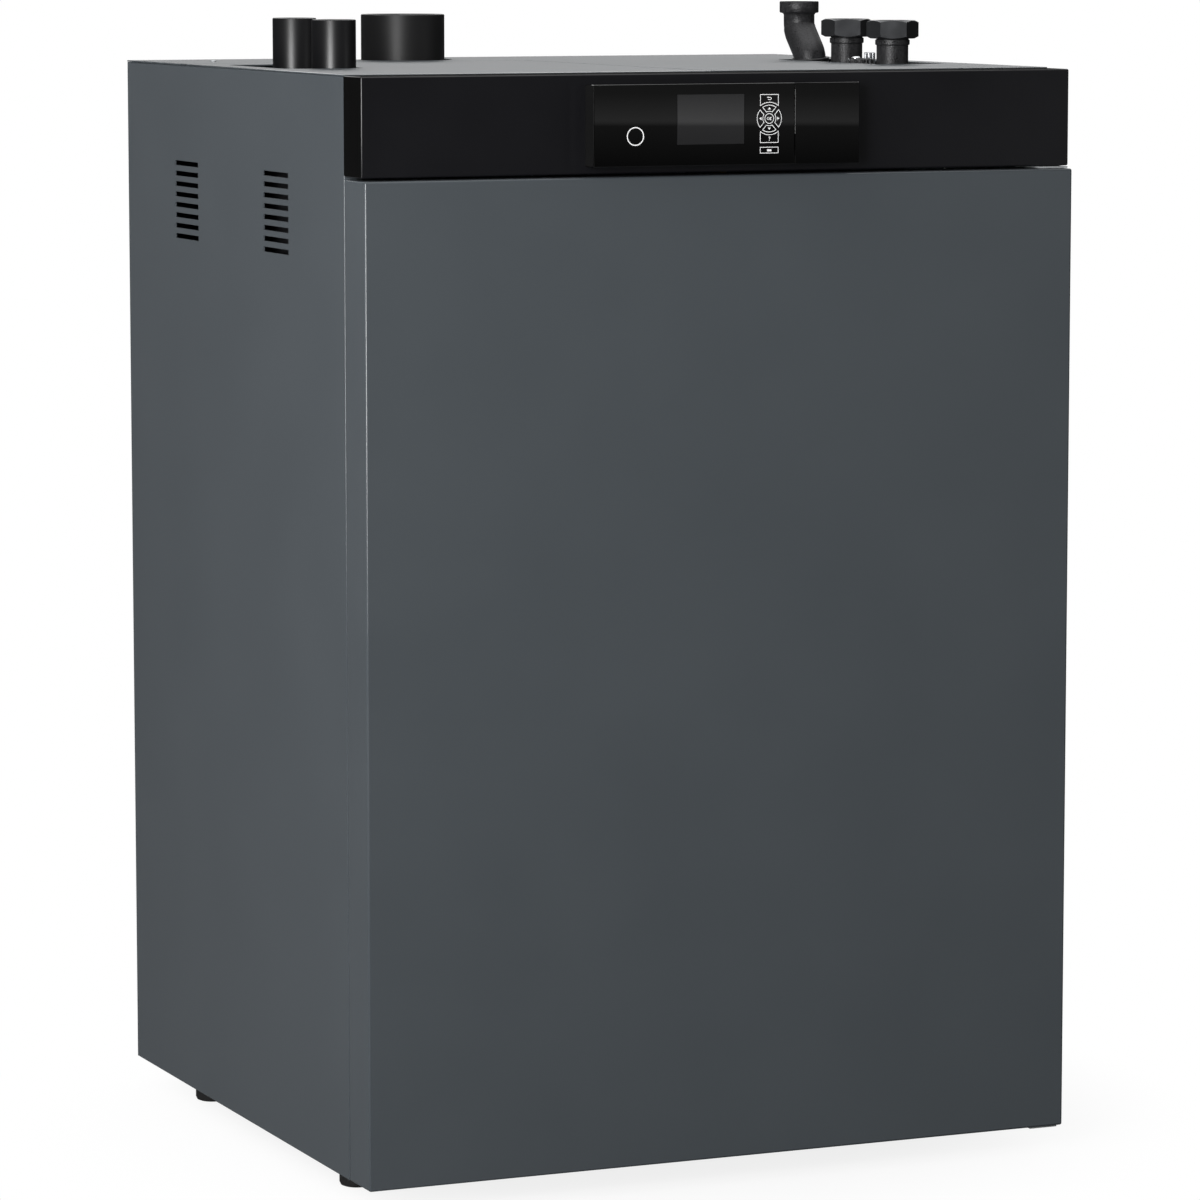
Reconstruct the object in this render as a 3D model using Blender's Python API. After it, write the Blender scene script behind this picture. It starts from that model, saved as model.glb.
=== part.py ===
"""Pellet boiler for central heating, as an assembly of separate sub-parts.

Metres, +Z up.  The origin is on the floor under the middle of the boiler.  The front
door faces -Y, the hydraulic connections are at +X and the pellet store is at -X.
"""

import math

import bmesh
import bpy
from mathutils import Matrix, Vector

# Casing
CASE_WIDTH = 0.850
CASE_DEPTH = 0.790
CASE_HEIGHT = 1.207
FOOT_HEIGHT = 0.030
SHEET = 0.0015
PANEL_FLANGE = 0.015
RIM_INSET = 0.018
RIM_HEIGHT = 0.010
FRONT_ZONE = 0.062
FIT = 0.0004
OVERRUN = 0.010

# Air slots of the side panels
SLOT_COLUMNS = (0.1735, 0.4745)
SLOT_LENGTH = 0.081
SLOT_HEIGHT = 0.0057
SLOT_PITCH = 0.0121
SLOT_DROP = 0.112
SLOT_ROWS = 8

# Base tray and levelling feet
BASE_SHEET = 0.003
BASE_RIM = 0.030
FOOT_RADIUS = 0.020
FOOT_ROUNDING = 0.004
FOOT_INSET = 0.047
FRONT_FOOT_SETBACK = 0.162
REAR_FOOT_SPACE = 0.141
STEM_RADIUS = 0.006
STEM_LENGTH = 0.046
BUSH_WALL = 0.006
BUSH_HEIGHT = 0.012

# Top panel and lift-off cover
COVER_WIDTH = 0.433
REAR_STRIP = 0.194
SEAM = 0.0008
LEDGE_WIDTH = 0.010
HOSE_SLOT_WIDTH = 0.094
HOSE_SLOT_GAP = 0.002
HOSE_SLOT_LEAD = 0.029
HOSE_SLOT_TAIL = 0.042
PIPE_OPENING_WIDTH = 0.087
PIPE_OPENING_SIDE = 0.055
PIPE_OPENING_LEAD = 0.030
PIPE_OPENING_TAIL = 0.030
CORNER_RADIUS = 0.010
FLUE_NOTCH_GAP = 0.0095

# Fascia, front door and hinges
FASCIA_HEIGHT = 0.108
FASCIA_DROP = 0.001
FASCIA_SETBACK = 0.010
FASCIA_WALL = 0.003
DOOR_GAP = 0.003
HINGE_INSET = 0.012
HINGE_SETBACK = 0.012
HINGE_PIN_RADIUS = 0.003
HINGE_PIN_LENGTH = 0.011
HINGE_PLATE = 0.0018
HINGE_WIDTH = 0.034
HINGE_EDGE = 0.004
HINGE_TAB_HEIGHT = 0.032
HINGE_REACH = 0.052
LOWER_HINGE_PLATE = 0.0022
LOWER_HINGE_LIP = 0.0025
CROSSBAR_DEPTH = 0.026

# Control unit
CONTROL_WIDTH = 0.318
CONTROL_HEIGHT = 0.0887
CONTROL_INSET = 0.259
CONTROL_DROP = 0.012
CONTROL_OVERHANG = 0.014
CONTROL_WALL = 0.003
NECK_INSET = 0.008
NECK_DEPTH = 0.040
FLAP_WIDTH = 0.0784
FLAP_THICKNESS = 0.003
DISPLAY_WIDTH = 0.081
DISPLAY_HEIGHT = 0.055
DISPLAY_INSET = 0.098
DISPLAY_DROP = 0.011
DISPLAY_LEDGE = 0.0015
WINDOW_THICKNESS = 0.0015
KEYPAD_INSET = 0.2086
KEYPAD_DROP = 0.0386
KEY_RING_RADIUS = 0.0150
KEY_OK_RADIUS = 0.0057
KEY_GAP = 0.0018
KEY_ARC_GAP = 0.0024
KEY_SLOT = 0.0035
KEY_SLOT_DEGREES = 48.7
KEY_CLEARANCE = 0.00035
KEY_COLLAR = 0.0006
KEY_COLLAR_DEPTH = 0.0012
KEY_WIDTH = 0.0223
KEY_HEIGHT = 0.0131
MENU_KEY_HEIGHT = 0.0070
MENU_KEY_SPACE = 0.0044
POWER_RADIUS = 0.0102
POWER_INSET = 0.049
POWER_DROP = 0.0558
BOARD_THICKNESS = 0.0016
BOARD_SETBACK = 0.012
TERMINAL_HEIGHT = 0.014
TERMINAL_DEPTH = 0.012

# Boiler vessel
HYDRAULIC_BAY = 0.137
INSULATION = 0.020
BOILER_WIDTH = 0.335
BOILER_BACK_SPACE = 0.210
BOILER_HEAD_SPACE = 0.2871
BOILER_SETBACK = 0.125
SKIRT_HEIGHT = 0.175
PLATE = 0.005
WATER_GAP = 0.030
FIREBOX_HEIGHT = 0.430
DOORWAY_WIDTH = 0.215
DOORWAY_HEIGHT = 0.290
DOORWAY_SILL = 0.095
TUBE_RADIUS = 0.030
TUBE_WALL = 0.004
TUBE_SPACING = 0.090
TUBE_COLUMNS = 3
TUBE_ROWS = 2
SMOKE_BOX_HEIGHT = 0.140
SMOKE_BOX_WALL = 0.003

# Combustion door
FIRE_DOOR_OVERLAP = 0.020
FIRE_DOOR_THICKNESS = 0.024
FIRE_HINGE_REACH = 0.014
KNUCKLE_HALF = 0.008
KNUCKLE_HEIGHT = 0.030
KNUCKLE_OFFSET = 0.060
FIRE_PIN_RADIUS = 0.005
HANDLE_HUB_RADIUS = 0.013
HANDLE_HUB_LENGTH = 0.012
HANDLE_LENGTH = 0.105
HANDLE_WIDTH = 0.018
HANDLE_THICKNESS = 0.010
HANDLE_INSET = 0.032

# Burner
POT_SIZE = 0.160
POT_HEIGHT = 0.125
POT_WALL = 0.008
CHUTE_LEDGE = 0.012
GRATE_THICKNESS = 0.006
GRATE_HOLE_RADIUS = 0.005
GRATE_HOLES = 3
IGNITER_RADIUS = 0.006
IGNITER_LENGTH = 0.110
IGNITER_HEAD_RADIUS = 0.011
IGNITER_HEAD_LENGTH = 0.030

# Ash box
ASH_BOX_HEIGHT = 0.130
ASH_BOX_BACK_SPACE = 0.055
ASH_BOX_SHEET = 0.0015
ASH_FRONT_THICKNESS = 0.004
ASH_SIDE_GAP = 0.010
ASH_PASS_GAP = 0.004
BAIL_RADIUS = 0.004
BAIL_WIDTH = 0.132
BAIL_DROP = 0.044
BAIL_STANDOFF = 0.010
BAIL_CLEARANCE = 0.0005
BAIL_PIN = 0.016
LUG_WIDTH = 0.008
LUG_HEIGHT = 0.018

# Pellet feed
FEED_SHIFT = 0.001
AUGER_TUBE_RADIUS = 0.038
AUGER_TUBE_WALL = 0.003
AUGER_RADIUS = 0.0335
AUGER_SHAFT_RADIUS = 0.009
AUGER_PITCH = 0.060
AUGER_BLADE = 0.003
AUGER_RISE = 0.066
TUBE_LIP = 0.007
CHUTE_LENGTH = 0.090
CHUTE_WIDTH = 0.064
CHUTE_RISE = 0.020
STAND_PLATE = 0.004
STAND_WIDTH = 0.080
VALVE_WIDTH = 0.130
VALVE_LENGTH = 0.120
VALVE_HEIGHT = 0.120
VALVE_RADIUS = 0.050
VALVE_WALL = 0.010
VALVE_THROAT = 0.072
VALVE_SHAFT_RADIUS = 0.008
VALVE_VANE = 0.004
VALVE_VANES = 6
VALVE_HUB_RADIUS = 0.016
RUNNING = 0.0008
GEARBOX_SIZE = 0.080
GEARBOX_LENGTH = 0.040
MOTOR_RADIUS = 0.034
MOTOR_LENGTH = 0.090
VALVE_MOTOR_RADIUS = 0.030
VALVE_MOTOR_LENGTH = 0.070
VALVE_GEARBOX = 0.068
VALVE_GEARBOX_DEPTH = 0.026
MOTOR_BOSS = 0.001

# Pellet store and suction unit
HOPPER_INSET = 0.020
HOPPER_GAP = 0.010
HOPPER_SETBACK = 0.085
HOPPER_BACK_SPACE = 0.205
HOPPER_TOP_SPACE = 0.237
HOPPER_WALL_HEIGHT = 0.300
HOPPER_SHEET = 0.002
LID_SHEET = 0.003
DOME_LEFT_LEDGE = 0.010
DOME_RIGHT_LEDGE = 0.028
DOME_LEAD = 0.051
DOME_TAIL = 0.066
DOME_HEIGHT = 0.118
HOSE_RADIUS = 0.025
HOSE_WALL = 0.003
HOSE_HEIGHT = 0.054
HOSE_INSET = 0.098
HOSE_BACK_SPACE = 0.117
HOSE_SPACING = 0.128
HOSE_FLANGE_RADIUS = 0.031
HOSE_FLANGE = 0.005
TURBINE_RADIUS = 0.055
TURBINE_LENGTH = 0.090
TURBINE_CAP_RADIUS = 0.036
TURBINE_BODY_LENGTH = 0.055

# Heat exchanger cleaning
RACK_PLATE = 0.006
RACK_MARGIN = 0.020
RACK_RISE = 0.030
TURBULATOR_WIDTH = 0.042
TURBULATOR_THICKNESS = 0.002
TURBULATOR_RISE = 0.0634
TURBULATOR_TURNS = 1.5
TURBULATOR_STEPS = 18
LIFT_ROD_RADIUS = 0.006
LIFT_ROD_LENGTH = 0.105

# Flue
FLUE_RADIUS = 0.050
FLUE_WALL = 0.003
FLUE_HEIGHT = 0.054
FLUE_OFFSET = 0.042
FLUE_BACK_SPACE = 0.093
FAN_RADIUS = 0.084
FAN_WIDTH = 0.108
FAN_WALL = 0.003
FAN_RISE = 0.0597
FAN_INLET_RADIUS = 0.040
COLLAR_RISE = 0.030
COLLAR_FLANGE = 0.005
COLLAR_FLANGE_RADIUS = 0.056
IMPELLER_RADIUS = 0.070
IMPELLER_WIDTH = 0.044
IMPELLER_BLADES = 8
IMPELLER_BLADE = 0.002
IMPELLER_HUB_RADIUS = 0.014
FAN_MOTOR_RADIUS = 0.042
FAN_MOTOR_LENGTH = 0.078
FAN_SHAFT_RADIUS = 0.005
DUCT_WIDTH = 0.112
DUCT_HEIGHT = 0.118
DUCT_TAIL = 0.0694
DUCT_WALL = 0.003
DUCT_MOUTH = 0.080

# Hydraulics
PIPE_RADIUS = 0.0185
PIPE_WALL = 0.0025
PIPE_INSET = 0.087
RETURN_SPACING = 0.121
SUPPLY_SPACING = 0.099
SWAN_SPACE = 0.290
PIPE_BEND = 0.040
SUPPLY_DROP = 0.070
RETURN_RISE = 0.090
NUT_ACROSS_FLATS = 0.0525
NUT_HEIGHT = 0.021
NUT_TOP = 0.050
NUT_BORE_GAP = 0.0006
NUT_CHAMFER = 0.0025
NUT_TURN_DEGREES = 24.0
PIPE_COLLAR = 0.0016
PIPE_COLLAR_HEIGHT = 0.006
SWAN_COLLAR_RADIUS = 0.0235
SWAN_COLLAR_HEIGHT = 0.0135
SWAN_TOP = 0.069
SWAN_OFFSET = 0.032
SWAN_BEND = 0.022
SWAN_BEND_DROP = 0.005

# Resolution of round shapes
FINE = 32
MEDIUM = 24
COARSE = 16
HIDDEN = 12
BEND_STEPS = 4
SWAN_STEPS = 3

# Planes that the pieces are set out from
LEFT = -CASE_WIDTH / 2
RIGHT = CASE_WIDTH / 2
FRONT = (CONTROL_OVERHANG - CASE_DEPTH) / 2
BACK = FRONT + CASE_DEPTH
BOTTOM = FOOT_HEIGHT
TOP = FOOT_HEIGHT + CASE_HEIGHT
PANEL_FRONT = FRONT + FRONT_ZONE
COVER_BACK = BACK - REAR_STRIP
PANEL_TOP = TOP - SHEET - FIT
INNER_LEFT = LEFT + SHEET
INNER_RIGHT = RIGHT - SHEET
FASCIA_TOP = TOP - FASCIA_DROP
FASCIA_BOTTOM = FASCIA_TOP - FASCIA_HEIGHT
DOOR_TOP = FASCIA_BOTTOM - DOOR_GAP
FLOOR = BOTTOM + SHEET + FIT + BASE_SHEET
BOILER_RIGHT = RIGHT - HYDRAULIC_BAY - INSULATION
BOILER_LEFT = BOILER_RIGHT - BOILER_WIDTH
BOILER_FRONT = FRONT + BOILER_SETBACK
BOILER_BACK = BACK - BOILER_BACK_SPACE
BOILER_MIDDLE = (BOILER_LEFT + BOILER_RIGHT) / 2
DECK_BOTTOM = FLOOR + SKIRT_HEIGHT
DECK_TOP = DECK_BOTTOM + PLATE
BOILER_TOP = TOP - BOILER_HEAD_SPACE
FIREBOX_LEFT = BOILER_LEFT + PLATE + WATER_GAP
FIREBOX_RIGHT = BOILER_RIGHT - PLATE - WATER_GAP
FIREBOX_BACK = BOILER_BACK - PLATE - WATER_GAP
FIREBOX_TOP = DECK_BOTTOM + FIREBOX_HEIGHT
FIREBOX_MIDDLE = (BOILER_FRONT + FIREBOX_BACK) / 2
CONTROL_FRONT = FRONT - CONTROL_OVERHANG
CONTROL_LEFT = LEFT + CONTROL_INSET
CONTROL_TOP = TOP - CONTROL_DROP
AUGER_Z = DECK_TOP + AUGER_RISE
FEED_X = (LEFT + BOILER_LEFT - INSULATION) / 2 + FEED_SHIFT
VALVE_BOTTOM = AUGER_Z + AUGER_TUBE_RADIUS + CHUTE_RISE + FIT
VALVE_TOP = VALVE_BOTTOM + VALVE_HEIGHT
VALVE_Z = VALVE_BOTTOM + VALVE_HEIGHT / 2
HOPPER_TOP = TOP - HOPPER_TOP_SPACE
LID_TOP = HOPPER_TOP + FIT + LID_SHEET
DOME_TOP = LID_TOP + DOME_HEIGHT


# Shapes

def remove_everything():
    for old in list(bpy.data.objects):
        bpy.data.objects.remove(old, do_unlink=True)


def finish(name, colour, roughness, metallic):
    """One Principled material, for one object."""
    material = bpy.data.materials.new(name)
    material.use_nodes = True
    shader = material.node_tree.nodes["Principled BSDF"]
    shader.inputs["Base Color"].default_value = (*colour, 1.0)
    shader.inputs["Roughness"].default_value = roughness
    shader.inputs["Metallic"].default_value = metallic
    return material


FINISHES = {
    "anthracite": ((0.085, 0.095, 0.105), 0.45, 0.3),
    "black_satin": ((0.012, 0.012, 0.013), 0.35, 0.0),
    "black_gloss": ((0.006, 0.006, 0.006), 0.08, 0.0),
    "display": ((0.05, 0.05, 0.055), 0.12, 0.0),
    "black_iron": ((0.02, 0.02, 0.02), 0.5, 0.5),
    "steel": ((0.45, 0.46, 0.47), 0.4, 1.0),
    "vessel": ((0.10, 0.10, 0.11), 0.6, 0.4),
    "wool": ((0.55, 0.45, 0.25), 0.9, 0.0),
    "cast": ((0.06, 0.06, 0.06), 0.7, 0.6),
    "rubber": ((0.02, 0.02, 0.02), 0.7, 0.0),
    "board": ((0.02, 0.12, 0.05), 0.5, 0.0),
    "alloy": ((0.5, 0.5, 0.5), 0.45, 0.8),
    "motor": ((0.03, 0.03, 0.035), 0.5, 0.2),
}


def add(name, bm, look, pivot=(0, 0, 0)):
    """Makes an object of the bmesh, with its origin at the pivot."""
    bmesh.ops.remove_doubles(bm, verts=bm.verts, dist=FIT / COARSE)
    bmesh.ops.recalc_face_normals(bm, faces=bm.faces)
    if bm.calc_volume(signed=True) < 0:
        bmesh.ops.reverse_faces(bm, faces=bm.faces)
    bmesh.ops.translate(bm, verts=bm.verts, vec=-Vector(pivot))
    mesh = bpy.data.meshes.new(name)
    bm.to_mesh(mesh)
    bm.free()
    mesh.shade_smooth()
    mesh.set_sharp_from_angle(angle=math.radians(35))
    made = bpy.data.objects.new(name, mesh)
    made.location = pivot
    bpy.context.scene.collection.objects.link(made)
    if look:
        mesh.materials.append(finish(name, *FINISHES[look]))
    return made


def shape_with(target, operation, bm):
    """Adds or removes the bmesh's volume, as a live Boolean on the target."""
    name = f"{target.name}_tool_{len(target.modifiers)}"
    tool = add(name, bm, None)
    tool.hide_render = True
    tool.display_type = "WIRE"
    tool.parent = target
    tool.matrix_parent_inverse = Matrix.Translation(-target.location)
    change = target.modifiers.new(name, "BOOLEAN")
    change.operation = operation
    change.solver = "EXACT"
    change.object = tool


def cut(target, bm):
    shape_with(target, "DIFFERENCE", bm)


def weld(target, bm):
    shape_with(target, "UNION", bm)


def block(low, high, bm=None):
    """A box from its lowest to its highest corner."""
    bm = bm or bmesh.new()
    low = Vector(low)
    high = Vector(high)
    place = Matrix.Translation((low + high) / 2) @ Matrix.Diagonal((*(high - low), 1))
    bmesh.ops.create_cube(bm, size=1, matrix=place)
    return bm


AXES = {"X": Vector((1, 0, 0)), "Y": Vector((0, 1, 0)), "Z": Vector((0, 0, 1))}


def rod(axis, foot, length, radius, sides=MEDIUM, bm=None):
    """A round bar that starts at foot and runs along the axis."""
    bm = bm or bmesh.new()
    turn = Vector((0, 0, 1)).rotation_difference(AXES[axis]).to_matrix().to_4x4()
    middle = Vector(foot) + AXES[axis] * (length / 2)
    place = Matrix.Translation(middle) @ turn
    bmesh.ops.create_cone(bm, cap_ends=True, segments=sides, radius1=radius,
                          radius2=radius, depth=length, matrix=place)
    return bm


def turned(profile, foot, axis="Z", sides=FINE, bm=None):
    """Spins a profile of (radius, height) points about the axis through foot."""
    bm = bm or bmesh.new()
    corners = [bm.verts.new((radius, 0, height)) for radius, height in profile]
    solid = profile[0][0] == 0
    first = 1 if solid else 0
    edges = [bm.edges.new((corners[i - 1], corners[i])) for i in range(first, len(corners))]
    bmesh.ops.spin(bm, geom=corners + edges, cent=(0, 0, 0), axis=(0, 0, 1),
                   angle=math.tau, steps=sides, use_merge=True)
    bmesh.ops.remove_doubles(bm, verts=bm.verts, dist=FIT / COARSE)
    turn = Vector((0, 0, 1)).rotation_difference(AXES[axis]).to_matrix().to_4x4()
    bmesh.ops.transform(bm, matrix=Matrix.Translation(Vector(foot)) @ turn, verts=bm.verts)
    return bm


def ring(axis, foot, length, outer, inner, sides=MEDIUM):
    """A plain tube."""
    return turned([(inner, 0), (outer, 0), (outer, length), (inner, length)], foot, axis, sides)


def prism(axis, outline, start, end, bm=None):
    """Extrudes a flat outline; it is in (y, z) for X, (x, z) for Y and (x, y) for Z."""
    bm = bm or bmesh.new()
    place = {"X": lambda a, b: (start, a, b), "Y": lambda a, b: (a, start, b),
             "Z": lambda a, b: (a, b, start)}[axis]
    face = bm.faces.new([bm.verts.new(place(a, b)) for a, b in outline])
    side = bmesh.ops.extrude_face_region(bm, geom=[face])
    moved = [item for item in side["geom"] if isinstance(item, bmesh.types.BMVert)]
    bmesh.ops.translate(bm, verts=moved, vec=AXES[axis] * (end - start))
    return bm


def loft(loops):
    """A closed solid through loops of equally many points, capped at both ends."""
    bm = bmesh.new()
    rows = [[bm.verts.new(point) for point in loop] for loop in loops]
    for row, following in zip(rows, rows[1:]):
        for i in range(len(row)):
            bm.faces.new((row[i - 1], row[i], following[i], following[i - 1]))
    bm.faces.new(rows[0])
    bm.faces.new(list(reversed(rows[-1])))
    return bm


def closed_loft(loops):
    """As loft, but the last loop joins the first one, as in a bent tube."""
    bm = bmesh.new()
    rows = [[bm.verts.new(point) for point in loop] for loop in loops]
    for index, row in enumerate(rows):
        before = rows[index - 1]
        for i in range(len(row)):
            bm.faces.new((before[i - 1], before[i], row[i], row[i - 1]))
    return bm


def tray(low, high, mouth, wall, floor):
    """A folded sheet tray: a box with one open side, given as its outward direction."""
    bm = block(low, high)
    bm.normal_update()
    mouth = Vector(mouth)
    face = max(bm.faces, key=lambda side: side.normal.dot(mouth))
    bmesh.ops.inset_region(bm, faces=[face], thickness=wall, use_even_offset=True)
    depth = abs((Vector(high) - Vector(low)).dot(mouth)) - floor
    inner = bmesh.ops.extrude_face_region(bm, geom=[face])
    moved = [item for item in inner["geom"] if isinstance(item, bmesh.types.BMVert)]
    bmesh.ops.delete(bm, geom=[face], context="FACES")
    bmesh.ops.translate(bm, verts=moved, vec=-mouth * depth)
    return bm


def rimmed_plate(low, high, side, inset, wall, height):
    """A flat cover with a folded rim standing on one side, given as its direction."""
    bm = block(low, high)
    bm.normal_update()
    side = Vector(side)
    face = max(bm.faces, key=lambda each: each.normal.dot(side))
    bmesh.ops.inset_region(bm, faces=[face], thickness=inset, use_even_offset=True)
    band = bmesh.ops.inset_region(bm, faces=[face], thickness=wall, use_even_offset=True)
    stood = bmesh.ops.extrude_face_region(bm, geom=band["faces"])
    moved = [item for item in stood["geom"] if isinstance(item, bmesh.types.BMVert)]
    bmesh.ops.delete(bm, geom=band["faces"], context="FACES")
    bmesh.ops.translate(bm, verts=moved, vec=side * height)
    return bm


def rounded(left, right, low, high, radius, steps=4):
    """A rectangle with round corners, as outline points."""
    corners = ((right - radius, high - radius, 0), (left + radius, high - radius, 1),
               (left + radius, low + radius, 2), (right - radius, low + radius, 3))
    points = []
    for across, up, quarter in corners:
        for step in range(steps + 1):
            angle = (quarter + step / steps) * math.pi / 2
            points.append((across + radius * math.cos(angle), up + radius * math.sin(angle)))
    return points


def swept_tube(path, radii, wall, sides=COARSE):
    """A bent tube along a path, with an outer radius for each point and one bore."""
    points = [Vector(point) for point in path]
    side = AXES["Y"]
    heading = (points[1] - points[0]).normalized()
    outer = []
    inner = []
    for index, point in enumerate(points):
        before = points[max(index - 1, 0)]
        after = points[min(index + 1, len(points) - 1)]
        along = (after - before).normalized()
        side = heading.rotation_difference(along) @ side
        heading = along
        upward = along.cross(side)
        arms = []
        for step in range(sides):
            angle = math.tau * step / sides
            arms.append(side * math.cos(angle) + upward * math.sin(angle))
        outer.append([point + arm * radii[index] for arm in arms])
        inner.append([point + arm * (PIPE_RADIUS - wall) for arm in arms])
    return closed_loft(outer + list(reversed(inner)))


def arc(centre, radius, start, end, steps):
    """Points of an arc, with its angles in degrees."""
    points = []
    for step in range(steps + 1):
        angle = math.radians(start + (end - start) * step / steps)
        points.append((centre[0] + radius * math.cos(angle), centre[1] + radius * math.sin(angle)))
    return points


# Casing

def side_panel(name, side):
    outer = side * CASE_WIDTH / 2
    inner = outer - side * PANEL_FLANGE
    low = (min(outer, inner), PANEL_FRONT, BOTTOM)
    high = (max(outer, inner), BACK - SHEET - FIT, PANEL_TOP)
    panel = add(name, tray(low, high, (-side, 0, 0), SHEET, SHEET), "anthracite")
    slots = bmesh.new()
    for column in SLOT_COLUMNS:
        start = PANEL_FRONT + column
        for row in range(SLOT_ROWS):
            slot_top = TOP - SLOT_DROP - row * SLOT_PITCH
            block((outer - 2 * SHEET, start, slot_top - SLOT_HEIGHT),
                  (outer + 2 * SHEET, start + SLOT_LENGTH, slot_top), slots)
    cut(panel, slots)


def rear_panel():
    low = (LEFT, BACK - SHEET, BOTTOM)
    high = (RIGHT, BACK, PANEL_TOP)
    add("rear_panel", rimmed_plate(low, high, (0, -1, 0), RIM_INSET, SHEET, RIM_HEIGHT),
        "anthracite")


def foot_places():
    return {
        "foot_front_left": (LEFT + FOOT_INSET, FRONT + FRONT_FOOT_SETBACK),
        "foot_front_right": (RIGHT - FOOT_INSET, FRONT + FRONT_FOOT_SETBACK),
        "foot_rear_left": (LEFT + FOOT_INSET, BACK - REAR_FOOT_SPACE),
        "foot_rear_right": (RIGHT - FOOT_INSET, BACK - REAR_FOOT_SPACE),
    }


def base_tray():
    low = (INNER_LEFT + FIT, PANEL_FRONT + SHEET + FIT, FLOOR - BASE_SHEET)
    high = (INNER_RIGHT - FIT, BACK - SHEET - RIM_HEIGHT - FIT, FLOOR + BASE_RIM)
    base = add("base_tray", tray(low, high, (0, 0, 1), BASE_SHEET, BASE_SHEET), "steel")
    hole = STEM_RADIUS + FIT
    for x, y in foot_places().values():
        foot = (x, y, FLOOR - BASE_SHEET / 2)
        weld(base, rod("Z", foot, BUSH_HEIGHT, hole + BUSH_WALL, COARSE))
        cut(base, rod("Z", (x, y, BOTTOM), BUSH_HEIGHT + OVERRUN, hole, COARSE))
    cut(base, block((BOILER_LEFT - ASH_PASS_GAP, PANEL_FRONT - OVERRUN, FLOOR),
                    (BOILER_RIGHT + ASH_PASS_GAP, PANEL_FRONT + OVERRUN,
                     FLOOR + BASE_RIM + OVERRUN)))


def feet():
    height = FOOT_HEIGHT - FIT
    for name, (x, y) in foot_places().items():
        profile = [(0, 0), (FOOT_RADIUS - FOOT_ROUNDING, 0)]
        profile += arc((FOOT_RADIUS - FOOT_ROUNDING, FOOT_ROUNDING), FOOT_ROUNDING, -45, 0, 1)
        profile += [(FOOT_RADIUS, height), (STEM_RADIUS, height),
                    (STEM_RADIUS, height + STEM_LENGTH), (0, height + STEM_LENGTH)]
        add(name, turned(profile, (x, y, 0), sides=COARSE), "rubber", (x, y, height))


def top_panel():
    """The fixed part of the top: the right side and the strip along the back."""
    seam_x = LEFT + COVER_WIDTH + SEAM
    seam_y = COVER_BACK + SEAM
    notch = FLUE_RADIUS + FLUE_NOTCH_GAP
    outline = [(seam_x, PANEL_FRONT), (RIGHT, PANEL_FRONT), (RIGHT, BACK), (FLUE_X + notch, BACK)]
    outline += arc((FLUE_X, FLUE_Y), notch, 0, -180, COARSE)
    outline += [(FLUE_X - notch, BACK), (LEFT, BACK), (LEFT, seam_y), (seam_x, seam_y)]
    panel = add("top_panel", prism("Z", outline, TOP - SHEET, TOP), "anthracite")
    under = TOP - SHEET - FIT
    low = under - SHEET
    middle = TOP - SHEET / 2
    weld(panel, block((seam_x, PANEL_FRONT + SHEET + PANEL_FLANGE, low),
                      (seam_x + LEDGE_WIDTH, seam_y + LEDGE_WIDTH, middle)))
    weld(panel, block((seam_x - SEAM - LEDGE_WIDTH, PANEL_FRONT + SHEET + PANEL_FLANGE, low),
                      (seam_x + LEDGE_WIDTH / 2, seam_y, under)))
    ledge_left = INNER_LEFT + PANEL_FLANGE + FIT
    weld(panel, block((ledge_left, seam_y, low), (seam_x, seam_y + LEDGE_WIDTH, middle)))
    weld(panel, block((ledge_left, seam_y - SEAM - LEDGE_WIDTH, low),
                      (seam_x, seam_y + LEDGE_WIDTH / 2, under)))
    right = PIPE_X + PIPE_OPENING_SIDE
    outline = rounded(right - PIPE_OPENING_WIDTH, right, RETURN_Y - PIPE_OPENING_LEAD,
                      SWAN_Y + PIPE_OPENING_TAIL, CORNER_RADIUS)
    cut(panel, prism("Z", outline, TOP - OVERRUN, TOP + OVERRUN))


def lift_off_cover():
    low = (LEFT, PANEL_FRONT, TOP - SHEET)
    high = (LEFT + COVER_WIDTH, COVER_BACK, TOP)
    cover = add("lift_off_cover",
                rimmed_plate(low, high, (0, 0, -1), RIM_INSET, SHEET, RIM_HEIGHT), "anthracite")
    right = HOSE_X + HOSE_RADIUS + HOSE_SLOT_GAP
    outline = rounded(right - HOSE_SLOT_WIDTH, right, HOSE_Y - HOSE_SPACING - HOSE_SLOT_LEAD,
                      HOSE_Y + HOSE_SLOT_TAIL, CORNER_RADIUS)
    cut(cover, prism("Z", outline, TOP - RIM_HEIGHT - OVERRUN, TOP + OVERRUN))


def front_crossbar():
    """Folded rail behind the fascia, which ties the side panels together."""
    low = (INNER_LEFT + FIT, PANEL_FRONT + SHEET + FIT, FASCIA_BOTTOM)
    high = (INNER_RIGHT - FIT, PANEL_FRONT + SHEET + FIT + CROSSBAR_DEPTH,
            TOP - SHEET - RIM_HEIGHT - FIT)
    add("front_crossbar", tray(low, high, (0, 1, 0), SHEET, SHEET), "steel")


def fascia():
    low = (LEFT, FRONT + FASCIA_SETBACK, FASCIA_BOTTOM)
    high = (RIGHT, PANEL_FRONT - FIT, FASCIA_TOP)
    shell = add("fascia", tray(low, high, (0, 1, 0), FASCIA_WALL, FASCIA_WALL), "black_satin")
    edge = NECK_INSET - FIT
    cut(shell, block((CONTROL_LEFT + edge, FRONT, CONTROL_TOP - CONTROL_HEIGHT + edge),
                     (CONTROL_LEFT + CONTROL_WIDTH - edge, PANEL_FRONT - OVERRUN,
                      CONTROL_TOP - edge)))


# Front door

HINGE_X = RIGHT - HINGE_INSET
HINGE_Y = FRONT + HINGE_SETBACK


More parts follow.
